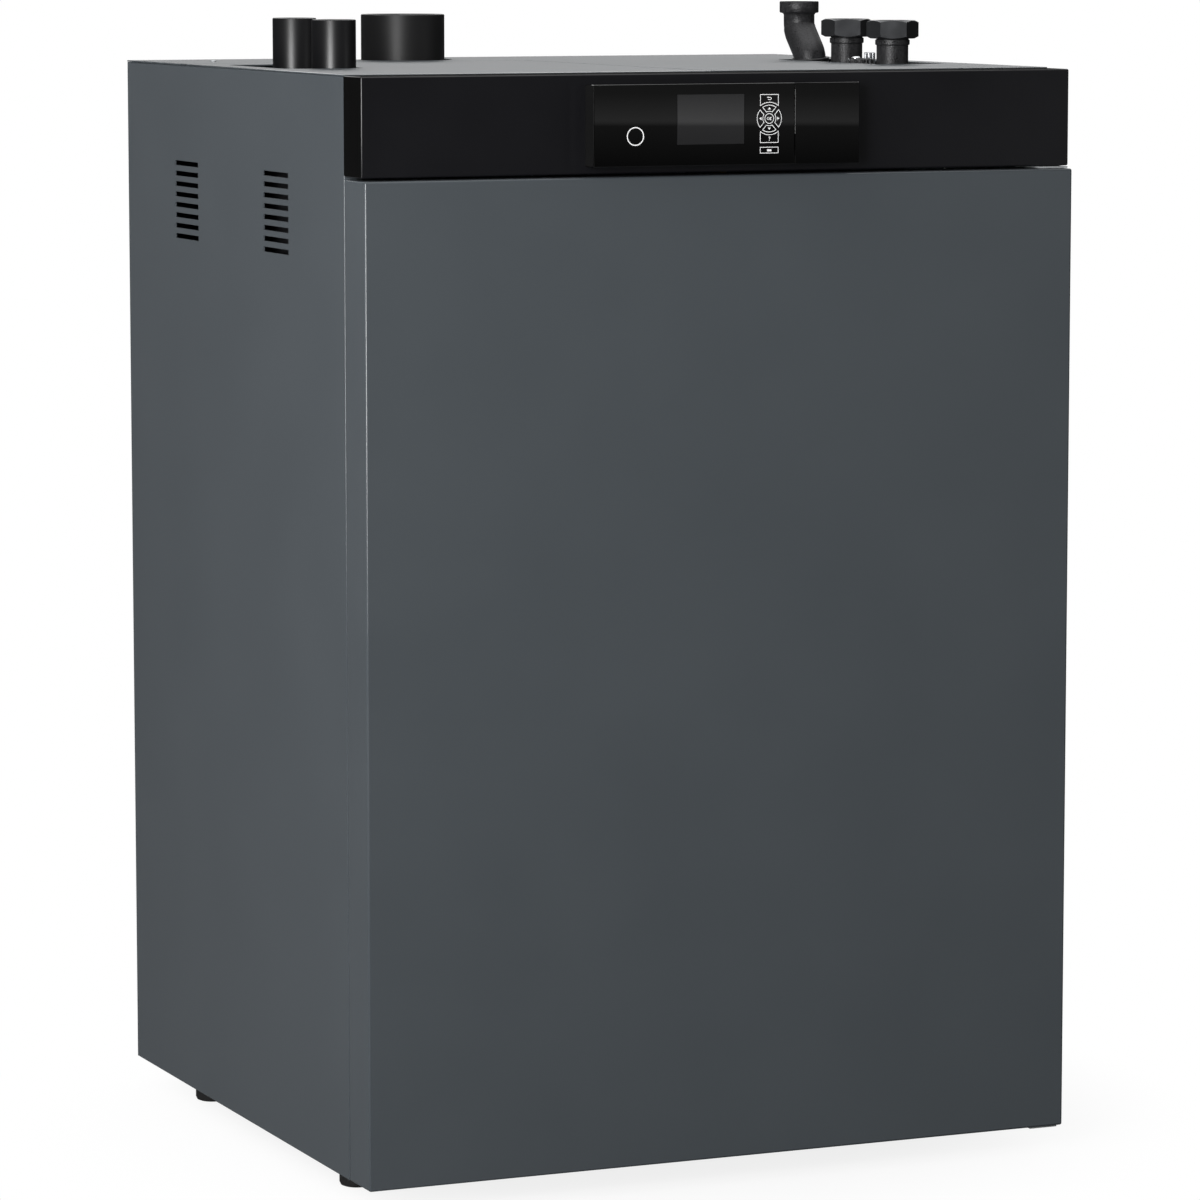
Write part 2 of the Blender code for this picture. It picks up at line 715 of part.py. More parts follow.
def front_door():
    low = (LEFT, FRONT, BOTTOM)
    high = (RIGHT, PANEL_FRONT - DOOR_GAP, DOOR_TOP)
    pivot = (HINGE_X, HINGE_Y, BOTTOM)
    door = add("front_door", tray(low, high, (0, 1, 0), SHEET, SHEET), "anthracite", pivot)
    hole = HINGE_PIN_RADIUS + FIT
    cut(door, rod("Z", (HINGE_X, HINGE_Y, BOTTOM - SHEET), 3 * SHEET, hole, COARSE))
    cut(door, rod("Z", (HINGE_X, HINGE_Y, DOOR_TOP - 2 * SHEET), 3 * SHEET, hole, COARSE))


def hinges():
    """Bracket plates in the gaps above and below the door, each with its pin."""
    right = RIGHT - HINGE_EDGE
    left = right - HINGE_WIDTH
    near = FRONT + HINGE_EDGE
    neck = INNER_RIGHT - PANEL_FLANGE - FIT
    bottom = DOOR_TOP + (DOOR_GAP - HINGE_PLATE) / 2
    back = PANEL_FRONT + SHEET + FIT
    outline = [(left, near), (right, near), (right, PANEL_FRONT - FIT), (neck, PANEL_FRONT - FIT),
               (neck, back + SHEET), (left, back + SHEET)]
    upper = add("upper_hinge", prism("Z", outline, bottom, bottom + HINGE_PLATE), "steel")
    weld(upper, block((left, back, bottom - HINGE_TAB_HEIGHT),
                      (INNER_RIGHT - FIT, back + 2 * SHEET, bottom + HINGE_PLATE / 2)))
    weld(upper, rod("Z", (HINGE_X, HINGE_Y, bottom + HINGE_PLATE / 2 - HINGE_PIN_LENGTH),
                    HINGE_PIN_LENGTH, HINGE_PIN_RADIUS, COARSE))
    top = BOTTOM - FIT
    near = HINGE_Y - HINGE_PIN_RADIUS - LOWER_HINGE_LIP
    lower = add("lower_hinge", block((left, near, top - LOWER_HINGE_PLATE),
                                     (right, PANEL_FRONT + HINGE_REACH, top)), "steel")
    weld(lower, rod("Z", (HINGE_X, HINGE_Y, top - LOWER_HINGE_PLATE / 2),
                    HINGE_PIN_LENGTH, HINGE_PIN_RADIUS, COARSE))


# Control unit

KEYPAD_X = CONTROL_LEFT + KEYPAD_INSET
KEYPAD_Z = CONTROL_TOP - KEYPAD_DROP
KEY_CORNER_RISE = math.sqrt((KEY_RING_RADIUS + KEY_ARC_GAP) ** 2 - (KEY_WIDTH / 2) ** 2)


def sector(middle_angle, grow):
    """Outline of one arrow key, part of a ring with straight slots beside it."""
    points = []
    half_slot = KEY_SLOT / 2 - grow
    span = KEY_SLOT_DEGREES if middle_angle % 180 == 0 else 90 - KEY_SLOT_DEGREES
    outer = KEY_RING_RADIUS + grow
    inner = KEY_OK_RADIUS + KEY_GAP - grow
    for radius, turn in ((outer, 1), (inner, -1)):
        half = span - math.degrees(math.asin(half_slot / radius))
        points += arc((KEYPAD_X, KEYPAD_Z), radius, middle_angle - turn * half,
                      middle_angle + turn * half, 6)
    return points


def collar_key(up, grow):
    """Outline of the back key (up = 1) or the help key (up = -1), hollowed by the ring."""
    half = KEY_WIDTH / 2 + grow
    radius = KEY_RING_RADIUS + KEY_ARC_GAP - grow
    angle = math.degrees(math.acos(half / radius))
    far = KEYPAD_Z + up * (KEY_CORNER_RISE + KEY_HEIGHT + grow)
    points = arc((KEYPAD_X, KEYPAD_Z), radius, up * angle, up * (180 - angle), 6)
    return points + [(KEYPAD_X - half, far), (KEYPAD_X + half, far)]


def menu_key(grow):
    top = KEYPAD_Z - KEY_CORNER_RISE - KEY_HEIGHT - MENU_KEY_SPACE
    half = KEY_WIDTH / 2 + grow
    return [(KEYPAD_X - half, top + grow), (KEYPAD_X - half, top - MENU_KEY_HEIGHT - grow),
            (KEYPAD_X + half, top - MENU_KEY_HEIGHT - grow), (KEYPAD_X + half, top + grow)]


def round_key(centre, radius, grow):
    return arc(centre, radius + grow, 0, 360 - 360 / MEDIUM, MEDIUM - 1)


def key_outlines(grow):
    power = (CONTROL_LEFT + POWER_INSET, CONTROL_TOP - POWER_DROP)
    return {
        "key_ok": round_key((KEYPAD_X, KEYPAD_Z), KEY_OK_RADIUS, grow),
        "key_right": sector(0, grow),
        "key_up": sector(90, grow),
        "key_left": sector(180, grow),
        "key_down": sector(270, grow),
        "key_back": collar_key(1, grow),
        "key_help": collar_key(-1, grow),
        "key_menu": menu_key(grow),
        "power_button": round_key(power, POWER_RADIUS, grow),
    }


def keys():
    """Push keys: a flush cap with a collar behind the front wall that keeps it in."""
    inside = CONTROL_FRONT + CONTROL_WALL + FIT
    collars = key_outlines(KEY_COLLAR)
    for name, cap in key_outlines(0).items():
        levels = ((cap, CONTROL_FRONT), (cap, inside), (collars[name], inside),
                  (collars[name], inside + KEY_COLLAR_DEPTH))
        loops = [[(x, y, z) for x, z in outline] for outline, y in levels]
        middle_x = sum(x for x, z in cap) / len(cap)
        middle_z = sum(z for x, z in cap) / len(cap)
        add(name, loft(loops), "black_gloss", (middle_x, CONTROL_FRONT, middle_z))


def control_housing():
    right = CONTROL_LEFT + CONTROL_WIDTH
    bottom = CONTROL_TOP - CONTROL_HEIGHT
    seat = FRONT + FASCIA_SETBACK - FIT
    housing = add("control_housing", block((CONTROL_LEFT, CONTROL_FRONT, bottom),
                                           (right, seat, CONTROL_TOP)), "black_gloss")
    weld(housing, block((CONTROL_LEFT + NECK_INSET, seat - CONTROL_WALL, bottom + NECK_INSET),
                        (right - NECK_INSET, seat + NECK_DEPTH, CONTROL_TOP - NECK_INSET)))
    edge = NECK_INSET + CONTROL_WALL
    cut(housing, block((CONTROL_LEFT + edge, CONTROL_FRONT + CONTROL_WALL, bottom + edge),
                       (right - FLAP_WIDTH - CONTROL_WALL, seat + NECK_DEPTH + OVERRUN,
                        CONTROL_TOP - edge)))
    cut(housing, block((right - FLAP_WIDTH + CONTROL_WALL, CONTROL_FRONT + FLAP_THICKNESS,
                        bottom + edge),
                       (right - edge, seat + NECK_DEPTH + OVERRUN, CONTROL_TOP - edge)))
    cut(housing, block((right - FLAP_WIDTH - FIT, CONTROL_FRONT - OVERRUN, bottom - OVERRUN),
                       (right + OVERRUN, CONTROL_FRONT + FLAP_THICKNESS + FIT,
                        CONTROL_TOP + OVERRUN)))
    left = CONTROL_LEFT + DISPLAY_INSET
    top = CONTROL_TOP - DISPLAY_DROP
    cut(housing, block((left, CONTROL_FRONT - OVERRUN, top - DISPLAY_HEIGHT),
                       (left + DISPLAY_WIDTH, CONTROL_FRONT + WINDOW_THICKNESS + FIT, top)))
    cut(housing, block((left + DISPLAY_LEDGE, CONTROL_FRONT - OVERRUN,
                        top - DISPLAY_HEIGHT + DISPLAY_LEDGE),
                       (left + DISPLAY_WIDTH - DISPLAY_LEDGE, CONTROL_FRONT + OVERRUN / 2,
                        top - DISPLAY_LEDGE)))
    holes = bmesh.new()
    for outline in key_outlines(KEY_CLEARANCE).values():
        prism("Y", outline, CONTROL_FRONT - OVERRUN, CONTROL_FRONT + OVERRUN / 2, holes)
    cut(housing, holes)


def display_window():
    left = CONTROL_LEFT + DISPLAY_INSET + FIT
    top = CONTROL_TOP - DISPLAY_DROP - FIT
    add("display_window",
        block((left, CONTROL_FRONT, top - DISPLAY_HEIGHT + 2 * FIT),
              (left + DISPLAY_WIDTH - 2 * FIT, CONTROL_FRONT + WINDOW_THICKNESS, top)), "display")


def control_flap():
    right = CONTROL_LEFT + CONTROL_WIDTH
    half = FLAP_THICKNESS / 2
    axis = (right - half, CONTROL_FRONT + half)
    left = right - FLAP_WIDTH
    outline = [(left, CONTROL_FRONT)] + arc(axis, half, -90, 90, 6)
    outline += [(left, CONTROL_FRONT + FLAP_THICKNESS)]
    add("control_flap", prism("Z", outline, CONTROL_TOP - CONTROL_HEIGHT, CONTROL_TOP),
        "black_gloss", (*axis, CONTROL_TOP - CONTROL_HEIGHT))


def control_board():
    """Circuit board behind the display, with a row of terminal blocks on it."""
    edge = NECK_INSET + CONTROL_WALL + FIT
    left = CONTROL_LEFT + edge
    right = CONTROL_LEFT + CONTROL_WIDTH - FLAP_WIDTH - CONTROL_WALL - FIT
    bottom = CONTROL_TOP - CONTROL_HEIGHT + edge
    near = CONTROL_FRONT + BOARD_SETBACK
    board = add("control_board", block((left, near, bottom),
                                       (right, near + BOARD_THICKNESS, CONTROL_TOP - edge)), "board")
    weld(board, block((left + edge, near + BOARD_THICKNESS / 2, bottom + edge),
                      (right - edge, near + BOARD_THICKNESS + TERMINAL_DEPTH,
                       bottom + edge + TERMINAL_HEIGHT)))


# Boiler vessel

def tube_places():
    places = []
    middle_y = (BOILER_FRONT + BOILER_BACK) / 2
    for column in range(TUBE_COLUMNS):
        x = BOILER_MIDDLE + (column - (TUBE_COLUMNS - 1) / 2) * TUBE_SPACING
        for row in range(TUBE_ROWS):
            places.append((x, middle_y + (row - (TUBE_ROWS - 1) / 2) * TUBE_SPACING))
    return places


DOORWAY_BOTTOM = DECK_TOP + DOORWAY_SILL
FIRE_DOOR_RIGHT = BOILER_MIDDLE + DOORWAY_WIDTH / 2 + FIRE_DOOR_OVERLAP
FIRE_DOOR_LEFT = BOILER_MIDDLE - DOORWAY_WIDTH / 2 - FIRE_DOOR_OVERLAP
FIRE_DOOR_BOTTOM = DOORWAY_BOTTOM - FIRE_DOOR_OVERLAP
FIRE_DOOR_TOP = DOORWAY_BOTTOM + DOORWAY_HEIGHT + FIRE_DOOR_OVERLAP
FIRE_HINGE_X = FIRE_DOOR_RIGHT + KNUCKLE_HALF
FIRE_HINGE_Y = BOILER_FRONT - FIRE_HINGE_REACH


def knuckle_bottoms():
    return (FIRE_DOOR_BOTTOM + KNUCKLE_OFFSET, FIRE_DOOR_TOP - KNUCKLE_OFFSET - KNUCKLE_HEIGHT)


PIPE_X = RIGHT - PIPE_INSET
SUPPLY_Z = BOILER_TOP - SUPPLY_DROP
RETURN_Z = DECK_TOP + RETURN_RISE
SWAN_Y = BACK - SWAN_SPACE
SUPPLY_Y = SWAN_Y - SUPPLY_SPACING
RETURN_Y = SUPPLY_Y - RETURN_SPACING
PIPE_SOCKETS = ((RETURN_Y, RETURN_Z), (SUPPLY_Y, SUPPLY_Z), (SWAN_Y, SUPPLY_Z))


def boiler_body():
    """Steel fire-tube vessel: water jacket, firebox, vertical tubes and an ash skirt."""
    body = add("boiler_body", block((BOILER_LEFT, BOILER_FRONT, DECK_BOTTOM),
                                    (BOILER_RIGHT, BOILER_BACK, BOILER_TOP)), "vessel")
    cut(body, block((BOILER_LEFT + PLATE, BOILER_FRONT + PLATE, DECK_TOP),
                    (BOILER_RIGHT - PLATE, BOILER_BACK - PLATE, BOILER_TOP - PLATE)))
    weld(body, block((FIREBOX_LEFT, BOILER_FRONT + PLATE / 2, DECK_TOP - PLATE / 2),
                     (FIREBOX_RIGHT, FIREBOX_BACK, FIREBOX_TOP)))
    for x, y in tube_places():
        foot = (x, y, FIREBOX_TOP - PLATE / 2)
        weld(body, rod("Z", foot, BOILER_TOP - FIREBOX_TOP, TUBE_RADIUS, HIDDEN))
    sleeve = AUGER_TUBE_RADIUS + FIT + PLATE
    weld(body, rod("X", (BOILER_LEFT + PLATE / 2, FIREBOX_MIDDLE, AUGER_Z),
                   PLATE + WATER_GAP, sleeve, MEDIUM))
    for x in (BOILER_LEFT, BOILER_RIGHT - PLATE):
        weld(body, block((x, BOILER_FRONT, FLOOR + FIT), (x + PLATE, BOILER_BACK, DECK_TOP - PLATE / 2)))
    weld(body, block((BOILER_LEFT + PLATE / 2, BOILER_BACK - PLATE, FLOOR + FIT),
                     (BOILER_RIGHT - PLATE / 2, BOILER_BACK, DECK_TOP - PLATE / 2)))
    cut(body, block((FIREBOX_LEFT + PLATE, BOILER_FRONT + PLATE, DECK_TOP),
                    (FIREBOX_RIGHT - PLATE, FIREBOX_BACK - PLATE, FIREBOX_TOP - PLATE)))
    for x, y in tube_places():
        cut(body, rod("Z", (x, y, FIREBOX_TOP - 2 * PLATE), BOILER_TOP - FIREBOX_TOP + 3 * PLATE,
                      TUBE_RADIUS - TUBE_WALL, HIDDEN))
    half = DOORWAY_WIDTH / 2
    cut(body, block((BOILER_MIDDLE - half, BOILER_FRONT - PLATE, DOORWAY_BOTTOM),
                    (BOILER_MIDDLE + half, BOILER_FRONT + 2 * PLATE, DOORWAY_BOTTOM + DOORWAY_HEIGHT)))
    chute = POT_SIZE / 2 - CHUTE_LEDGE
    cut(body, block((BOILER_MIDDLE - chute, FIREBOX_MIDDLE - chute, DECK_BOTTOM - PLATE),
                    (BOILER_MIDDLE + chute, FIREBOX_MIDDLE + chute, DECK_TOP + PLATE)))
    cut(body, rod("X", (BOILER_LEFT - PLATE, FIREBOX_MIDDLE, AUGER_Z),
                  4 * PLATE + WATER_GAP, AUGER_TUBE_RADIUS + FIT, MEDIUM))
    for y, z in PIPE_SOCKETS:
        cut(body, rod("X", (BOILER_RIGHT - 2 * PLATE, y, z), 3 * PLATE,
                      PIPE_RADIUS - PIPE_WALL, COARSE))
    boss = KNUCKLE_HALF - FIT
    for bottom in knuckle_bottoms():
        seat = bottom - FIT - 2 * KNUCKLE_HALF
        weld(body, block((FIRE_HINGE_X - boss, FIRE_HINGE_Y, seat),
                         (FIRE_HINGE_X + boss, BOILER_FRONT + PLATE / 2, bottom - FIT)))
        weld(body, rod("Z", (FIRE_HINGE_X, FIRE_HINGE_Y, seat), 2 * KNUCKLE_HALF, boss, COARSE))
        weld(body, rod("Z", (FIRE_HINGE_X, FIRE_HINGE_Y, bottom - KNUCKLE_HALF),
                       KNUCKLE_HALF + KNUCKLE_HEIGHT, FIRE_PIN_RADIUS, COARSE))


def boiler_insulation():
    """Mineral wool mat round the sides and the back of the vessel."""
    gap = FIT
    left = BOILER_LEFT - INSULATION
    right = BOILER_RIGHT + INSULATION
    back = BOILER_BACK + INSULATION
    outline = [(left, BOILER_FRONT), (BOILER_LEFT - gap, BOILER_FRONT),
               (BOILER_LEFT - gap, BOILER_BACK + gap), (BOILER_RIGHT + gap, BOILER_BACK + gap),
               (BOILER_RIGHT + gap, BOILER_FRONT), (right, BOILER_FRONT), (right, back),
               (left, back)]
    mat = add("boiler_insulation", prism("Z", outline, FLOOR + FIT, BOILER_TOP), "wool")
    cut(mat, rod("X", (left - PLATE, FIREBOX_MIDDLE, AUGER_Z), INSULATION + 2 * PLATE,
                 AUGER_TUBE_RADIUS + FIT, MEDIUM))
    for y, z in PIPE_SOCKETS:
        cut(mat, rod("X", (BOILER_RIGHT - PLATE, y, z), INSULATION + 2 * PLATE,
                     PIPE_RADIUS + FIT, COARSE))


def combustion_door():
    back = BOILER_FRONT - FIT
    front = back - FIRE_DOOR_THICKNESS
    pivot = (FIRE_HINGE_X, FIRE_HINGE_Y, FIRE_DOOR_BOTTOM)
    door = add("combustion_door", block((FIRE_DOOR_LEFT, front, FIRE_DOOR_BOTTOM),
                                        (FIRE_DOOR_RIGHT, back, FIRE_DOOR_TOP)), "cast", pivot)
    for bottom in knuckle_bottoms():
        weld(door, block((FIRE_DOOR_RIGHT - KNUCKLE_HALF, FIRE_HINGE_Y - KNUCKLE_HALF, bottom),
                         (FIRE_HINGE_X + KNUCKLE_HALF, FIRE_HINGE_Y + KNUCKLE_HALF,
                          bottom + KNUCKLE_HEIGHT)))
        cut(door, rod("Z", (FIRE_HINGE_X, FIRE_HINGE_Y, bottom - OVERRUN / 2),
                      KNUCKLE_HEIGHT + OVERRUN, FIRE_PIN_RADIUS + FIT, COARSE))


def combustion_door_handle():
    """Turning grip that clamps the combustion door."""
    x = FIRE_DOOR_LEFT + HANDLE_INSET
    z = (FIRE_DOOR_BOTTOM + FIRE_DOOR_TOP) / 2
    face = BOILER_FRONT - FIRE_DOOR_THICKNESS - 2 * FIT
    near = face - HANDLE_HUB_LENGTH
    handle = add("combustion_door_handle",
                 rod("Y", (x, near - HANDLE_THICKNESS / 2, z), HANDLE_HUB_LENGTH + HANDLE_THICKNESS / 2,
                     HANDLE_HUB_RADIUS), "black_satin", (x, near, z))
    half = HANDLE_WIDTH / 2
    outline = rounded(x - half, x + half, z - HANDLE_LENGTH, z + HANDLE_HUB_RADIUS + half,
                      half - FIT)
    weld(handle, prism("Y", outline, near - HANDLE_THICKNESS, near + FIT))


# Burner

def burner_pot():
    half = POT_SIZE / 2
    bottom = DECK_TOP + FIT
    pot = add("burner_pot", block((BOILER_MIDDLE - half, FIREBOX_MIDDLE - half, bottom),
                                  (BOILER_MIDDLE + half, FIREBOX_MIDDLE + half,
                                   bottom + POT_HEIGHT)), "cast")
    inner = half - POT_WALL
    cut(pot, block((BOILER_MIDDLE - inner, FIREBOX_MIDDLE - inner, bottom - PLATE),
                   (BOILER_MIDDLE + inner, FIREBOX_MIDDLE + inner, bottom + POT_HEIGHT + PLATE)))
    cut(pot, block((BOILER_MIDDLE - inner, FIREBOX_MIDDLE - half - PLATE, bottom - PLATE),
                   (BOILER_MIDDLE + inner, FIREBOX_MIDDLE, bottom + GRATE_THICKNESS + 2 * FIT)))
    cut(pot, rod("X", (BOILER_MIDDLE - half - PLATE, FIREBOX_MIDDLE, AUGER_Z),
                 POT_WALL + 2 * PLATE, AUGER_TUBE_RADIUS + FIT, MEDIUM))
    cut(pot, rod("X", (BOILER_MIDDLE + inner - PLATE, FIREBOX_MIDDLE, AUGER_Z),
                 POT_WALL + 2 * PLATE, IGNITER_RADIUS + FIT, COARSE))


def burner_grate():
    """Sliding plate with air holes, the floor of the burner pot."""
    inner = POT_SIZE / 2 - POT_WALL - FIT
    bottom = DECK_TOP + FIT
    grate = add("burner_grate", block((BOILER_MIDDLE - inner, FIREBOX_MIDDLE - inner, bottom),
                                      (BOILER_MIDDLE + inner, FIREBOX_MIDDLE + inner,
                                       bottom + GRATE_THICKNESS)), "cast")
    holes = bmesh.new()
    step = 2 * inner / (GRATE_HOLES + 1)
    for column in range(GRATE_HOLES):
        for row in range(GRATE_HOLES):
            foot = (BOILER_MIDDLE - inner + (column + 1) * step,
                    FIREBOX_MIDDLE - inner + (row + 1) * step, bottom - GRATE_THICKNESS)
            rod("Z", foot, 3 * GRATE_THICKNESS, GRATE_HOLE_RADIUS, 8, holes)
    cut(grate, holes)


def igniter():
    """Ceramic rod that lights the pellets through the pot's wall."""
    start = BOILER_MIDDLE + POT_SIZE / 2 - POT_WALL
    profile = [(0, 0), (IGNITER_RADIUS, 0), (IGNITER_RADIUS, POT_WALL + FIT),
               (IGNITER_HEAD_RADIUS, POT_WALL + FIT),
               (IGNITER_HEAD_RADIUS, POT_WALL + FIT + IGNITER_HEAD_LENGTH),
               (0, POT_WALL + FIT + IGNITER_HEAD_LENGTH)]
    add("igniter", turned(profile, (start, FIREBOX_MIDDLE, AUGER_Z), "X", COARSE), "steel")


# Ash box

ASH_FRONT = BOILER_FRONT - FIT - ASH_FRONT_THICKNESS
BAIL_Y = ASH_FRONT - BAIL_STANDOFF
BAIL_Z = FLOOR + ASH_BOX_HEIGHT


def ash_box():
    low = (BOILER_LEFT + PLATE + ASH_SIDE_GAP, ASH_FRONT, FLOOR + FIT)
    high = (BOILER_RIGHT - PLATE - ASH_SIDE_GAP, BOILER_BACK - ASH_BOX_BACK_SPACE,
            FLOOR + ASH_BOX_HEIGHT)
    box = add("ash_box", tray(low, high, (0, 0, 1), ASH_BOX_SHEET, ASH_BOX_SHEET), "steel",
              (BOILER_MIDDLE, ASH_FRONT, FLOOR + FIT))
    weld(box, block((BOILER_LEFT, ASH_FRONT, FLOOR + 2 * FIT),
                    (BOILER_RIGHT, ASH_FRONT + ASH_FRONT_THICKNESS, DECK_TOP - PLATE)))
    for side in (-1, 1):
        x = BOILER_MIDDLE + side * (BAIL_WIDTH / 2 - 3 * BAIL_RADIUS - BAIL_PIN / 2)
        weld(box, block((x - LUG_WIDTH / 2, BAIL_Y - LUG_HEIGHT / 2, BAIL_Z - LUG_HEIGHT / 2),
                        (x + LUG_WIDTH / 2, ASH_FRONT + FIT, BAIL_Z + LUG_HEIGHT / 2)))
        cut(box, rod("X", (x - LUG_WIDTH, BAIL_Y, BAIL_Z), 2 * LUG_WIDTH,
                     BAIL_RADIUS + BAIL_CLEARANCE, COARSE))


def ash_box_handle():
    """Bail of bent round bar, whose ends turn in the two lugs."""
    half = BAIL_WIDTH / 2 - BAIL_RADIUS
    bend = 2 * BAIL_RADIUS
    pin = half - bend - BAIL_PIN
    side_path = [(pin, BAIL_Z)]
    side_path += arc((half - bend, BAIL_Z - bend), bend, 90, 0, 4)
    side_path += arc((half - bend, BAIL_Z - BAIL_DROP + bend), bend, 0, -90, 4)
    path = [(BOILER_MIDDLE + across, BAIL_Y, up) for across, up in side_path]
    path += [(BOILER_MIDDLE - across, BAIL_Y, up) for across, up in reversed(side_path)]
    loops = []
    for index, point in enumerate(path):
        before = Vector(path[max(index - 1, 0)])
        after = Vector(path[min(index + 1, len(path) - 1)])
        along = (after - before).normalized()
        outward = along.cross(AXES["Y"])
        loop = []
        for step in range(8):
            angle = math.tau * step / 8
            arm = outward * math.cos(angle) + AXES["Y"] * math.sin(angle)
            loop.append(Vector(point) + arm * BAIL_RADIUS)
        loops.append(loop)
    add("ash_box_handle", loft(loops), "steel", (BOILER_MIDDLE, BAIL_Y, BAIL_Z))


# Pellet feed

AUGER_START = FEED_X - CHUTE_LENGTH / 2 - TUBE_LIP
AUGER_END = BOILER_MIDDLE - POT_SIZE / 2 + POT_WALL


def auger_tube():
    """Feed tube from under the rotary valve into the burner pot, on its own stand."""
    tube = add("auger_tube", rod("X", (AUGER_START, FIREBOX_MIDDLE, AUGER_Z),
                                 AUGER_END - AUGER_START, AUGER_TUBE_RADIUS), "steel")
    top = AUGER_Z + AUGER_TUBE_RADIUS + CHUTE_RISE
    half_long = CHUTE_LENGTH / 2
    half_wide = CHUTE_WIDTH / 2
    weld(tube, block((FEED_X - half_long, FIREBOX_MIDDLE - half_wide, AUGER_Z),
                     (FEED_X + half_long, FIREBOX_MIDDLE + half_wide, top)))
    weld(tube, block((FEED_X - STAND_PLATE / 2, FIREBOX_MIDDLE - STAND_WIDTH / 2, FLOOR + FIT),
                     (FEED_X + STAND_PLATE / 2, FIREBOX_MIDDLE + STAND_WIDTH / 2, AUGER_Z)))
    weld(tube, block((FEED_X - STAND_WIDTH / 4, FIREBOX_MIDDLE - STAND_WIDTH / 2, FLOOR + FIT),
                     (FEED_X + STAND_WIDTH / 4, FIREBOX_MIDDLE + STAND_WIDTH / 2,
                      FLOOR + FIT + STAND_PLATE)))
    cut(tube, rod("X", (AUGER_START - OVERRUN, FIREBOX_MIDDLE, AUGER_Z),
                  AUGER_END - AUGER_START + 2 * OVERRUN, AUGER_TUBE_RADIUS - AUGER_TUBE_WALL))
    wall = AUGER_TUBE_WALL
    cut(tube, block((FEED_X - half_long + wall, FIREBOX_MIDDLE - half_wide + wall, AUGER_Z),
                    (FEED_X + half_long - wall, FIREBOX_MIDDLE + half_wide - wall, top + OVERRUN)))


def feed_auger():
    """Screw on a round shaft; the shaft's left end stands in the gearbox."""
    start = AUGER_START + RUNNING
    length = AUGER_END - AUGER_START - 2 * RUNNING
    shaft_start = AUGER_START - GEARBOX_LENGTH / 2
    middle = (0, FIREBOX_MIDDLE, AUGER_Z)
    screw = add("feed_auger", rod("X", (shaft_start, FIREBOX_MIDDLE, AUGER_Z),
                                  start + length - shaft_start, AUGER_SHAFT_RADIUS, COARSE),
                "steel", (AUGER_START, FIREBOX_MIDDLE, AUGER_Z))
    turns = (length - AUGER_BLADE) / AUGER_PITCH
    steps = round(turns * HIDDEN)
    root = AUGER_SHAFT_RADIUS * 3 / 4
    loops = []
    for step in range(steps + 1):
        angle = math.tau * turns * step / steps
        x = start + (length - AUGER_BLADE) * step / steps
        arm = Vector((0, math.cos(angle), math.sin(angle)))
        corners = ((root, 0), (AUGER_RADIUS, 0), (AUGER_RADIUS, AUGER_BLADE), (root, AUGER_BLADE))
        loops.append([Vector((x + shift, middle[1], middle[2])) + arm * radius
                      for radius, shift in corners])
    weld(screw, loft(loops))


def feed_motor():
    """Gearbox on the end of the feed tube, with its motor towards the front."""
    half = GEARBOX_SIZE / 2
    right = AUGER_START - FIT
    left = right - GEARBOX_LENGTH
    motor = add("feed_motor", block((left, FIREBOX_MIDDLE - half, AUGER_Z - half),
                                    (right, FIREBOX_MIDDLE + half, AUGER_Z + half)), "motor")
    weld(motor, rod("Y", (left + MOTOR_RADIUS, FIREBOX_MIDDLE - half - MOTOR_LENGTH, AUGER_Z),
                    MOTOR_LENGTH + MOTOR_BOSS, MOTOR_RADIUS))
    cut(motor, rod("X", (right - GEARBOX_LENGTH / 2 - RUNNING, FIREBOX_MIDDLE, AUGER_Z),
                   GEARBOX_LENGTH, AUGER_SHAFT_RADIUS + RUNNING, COARSE))


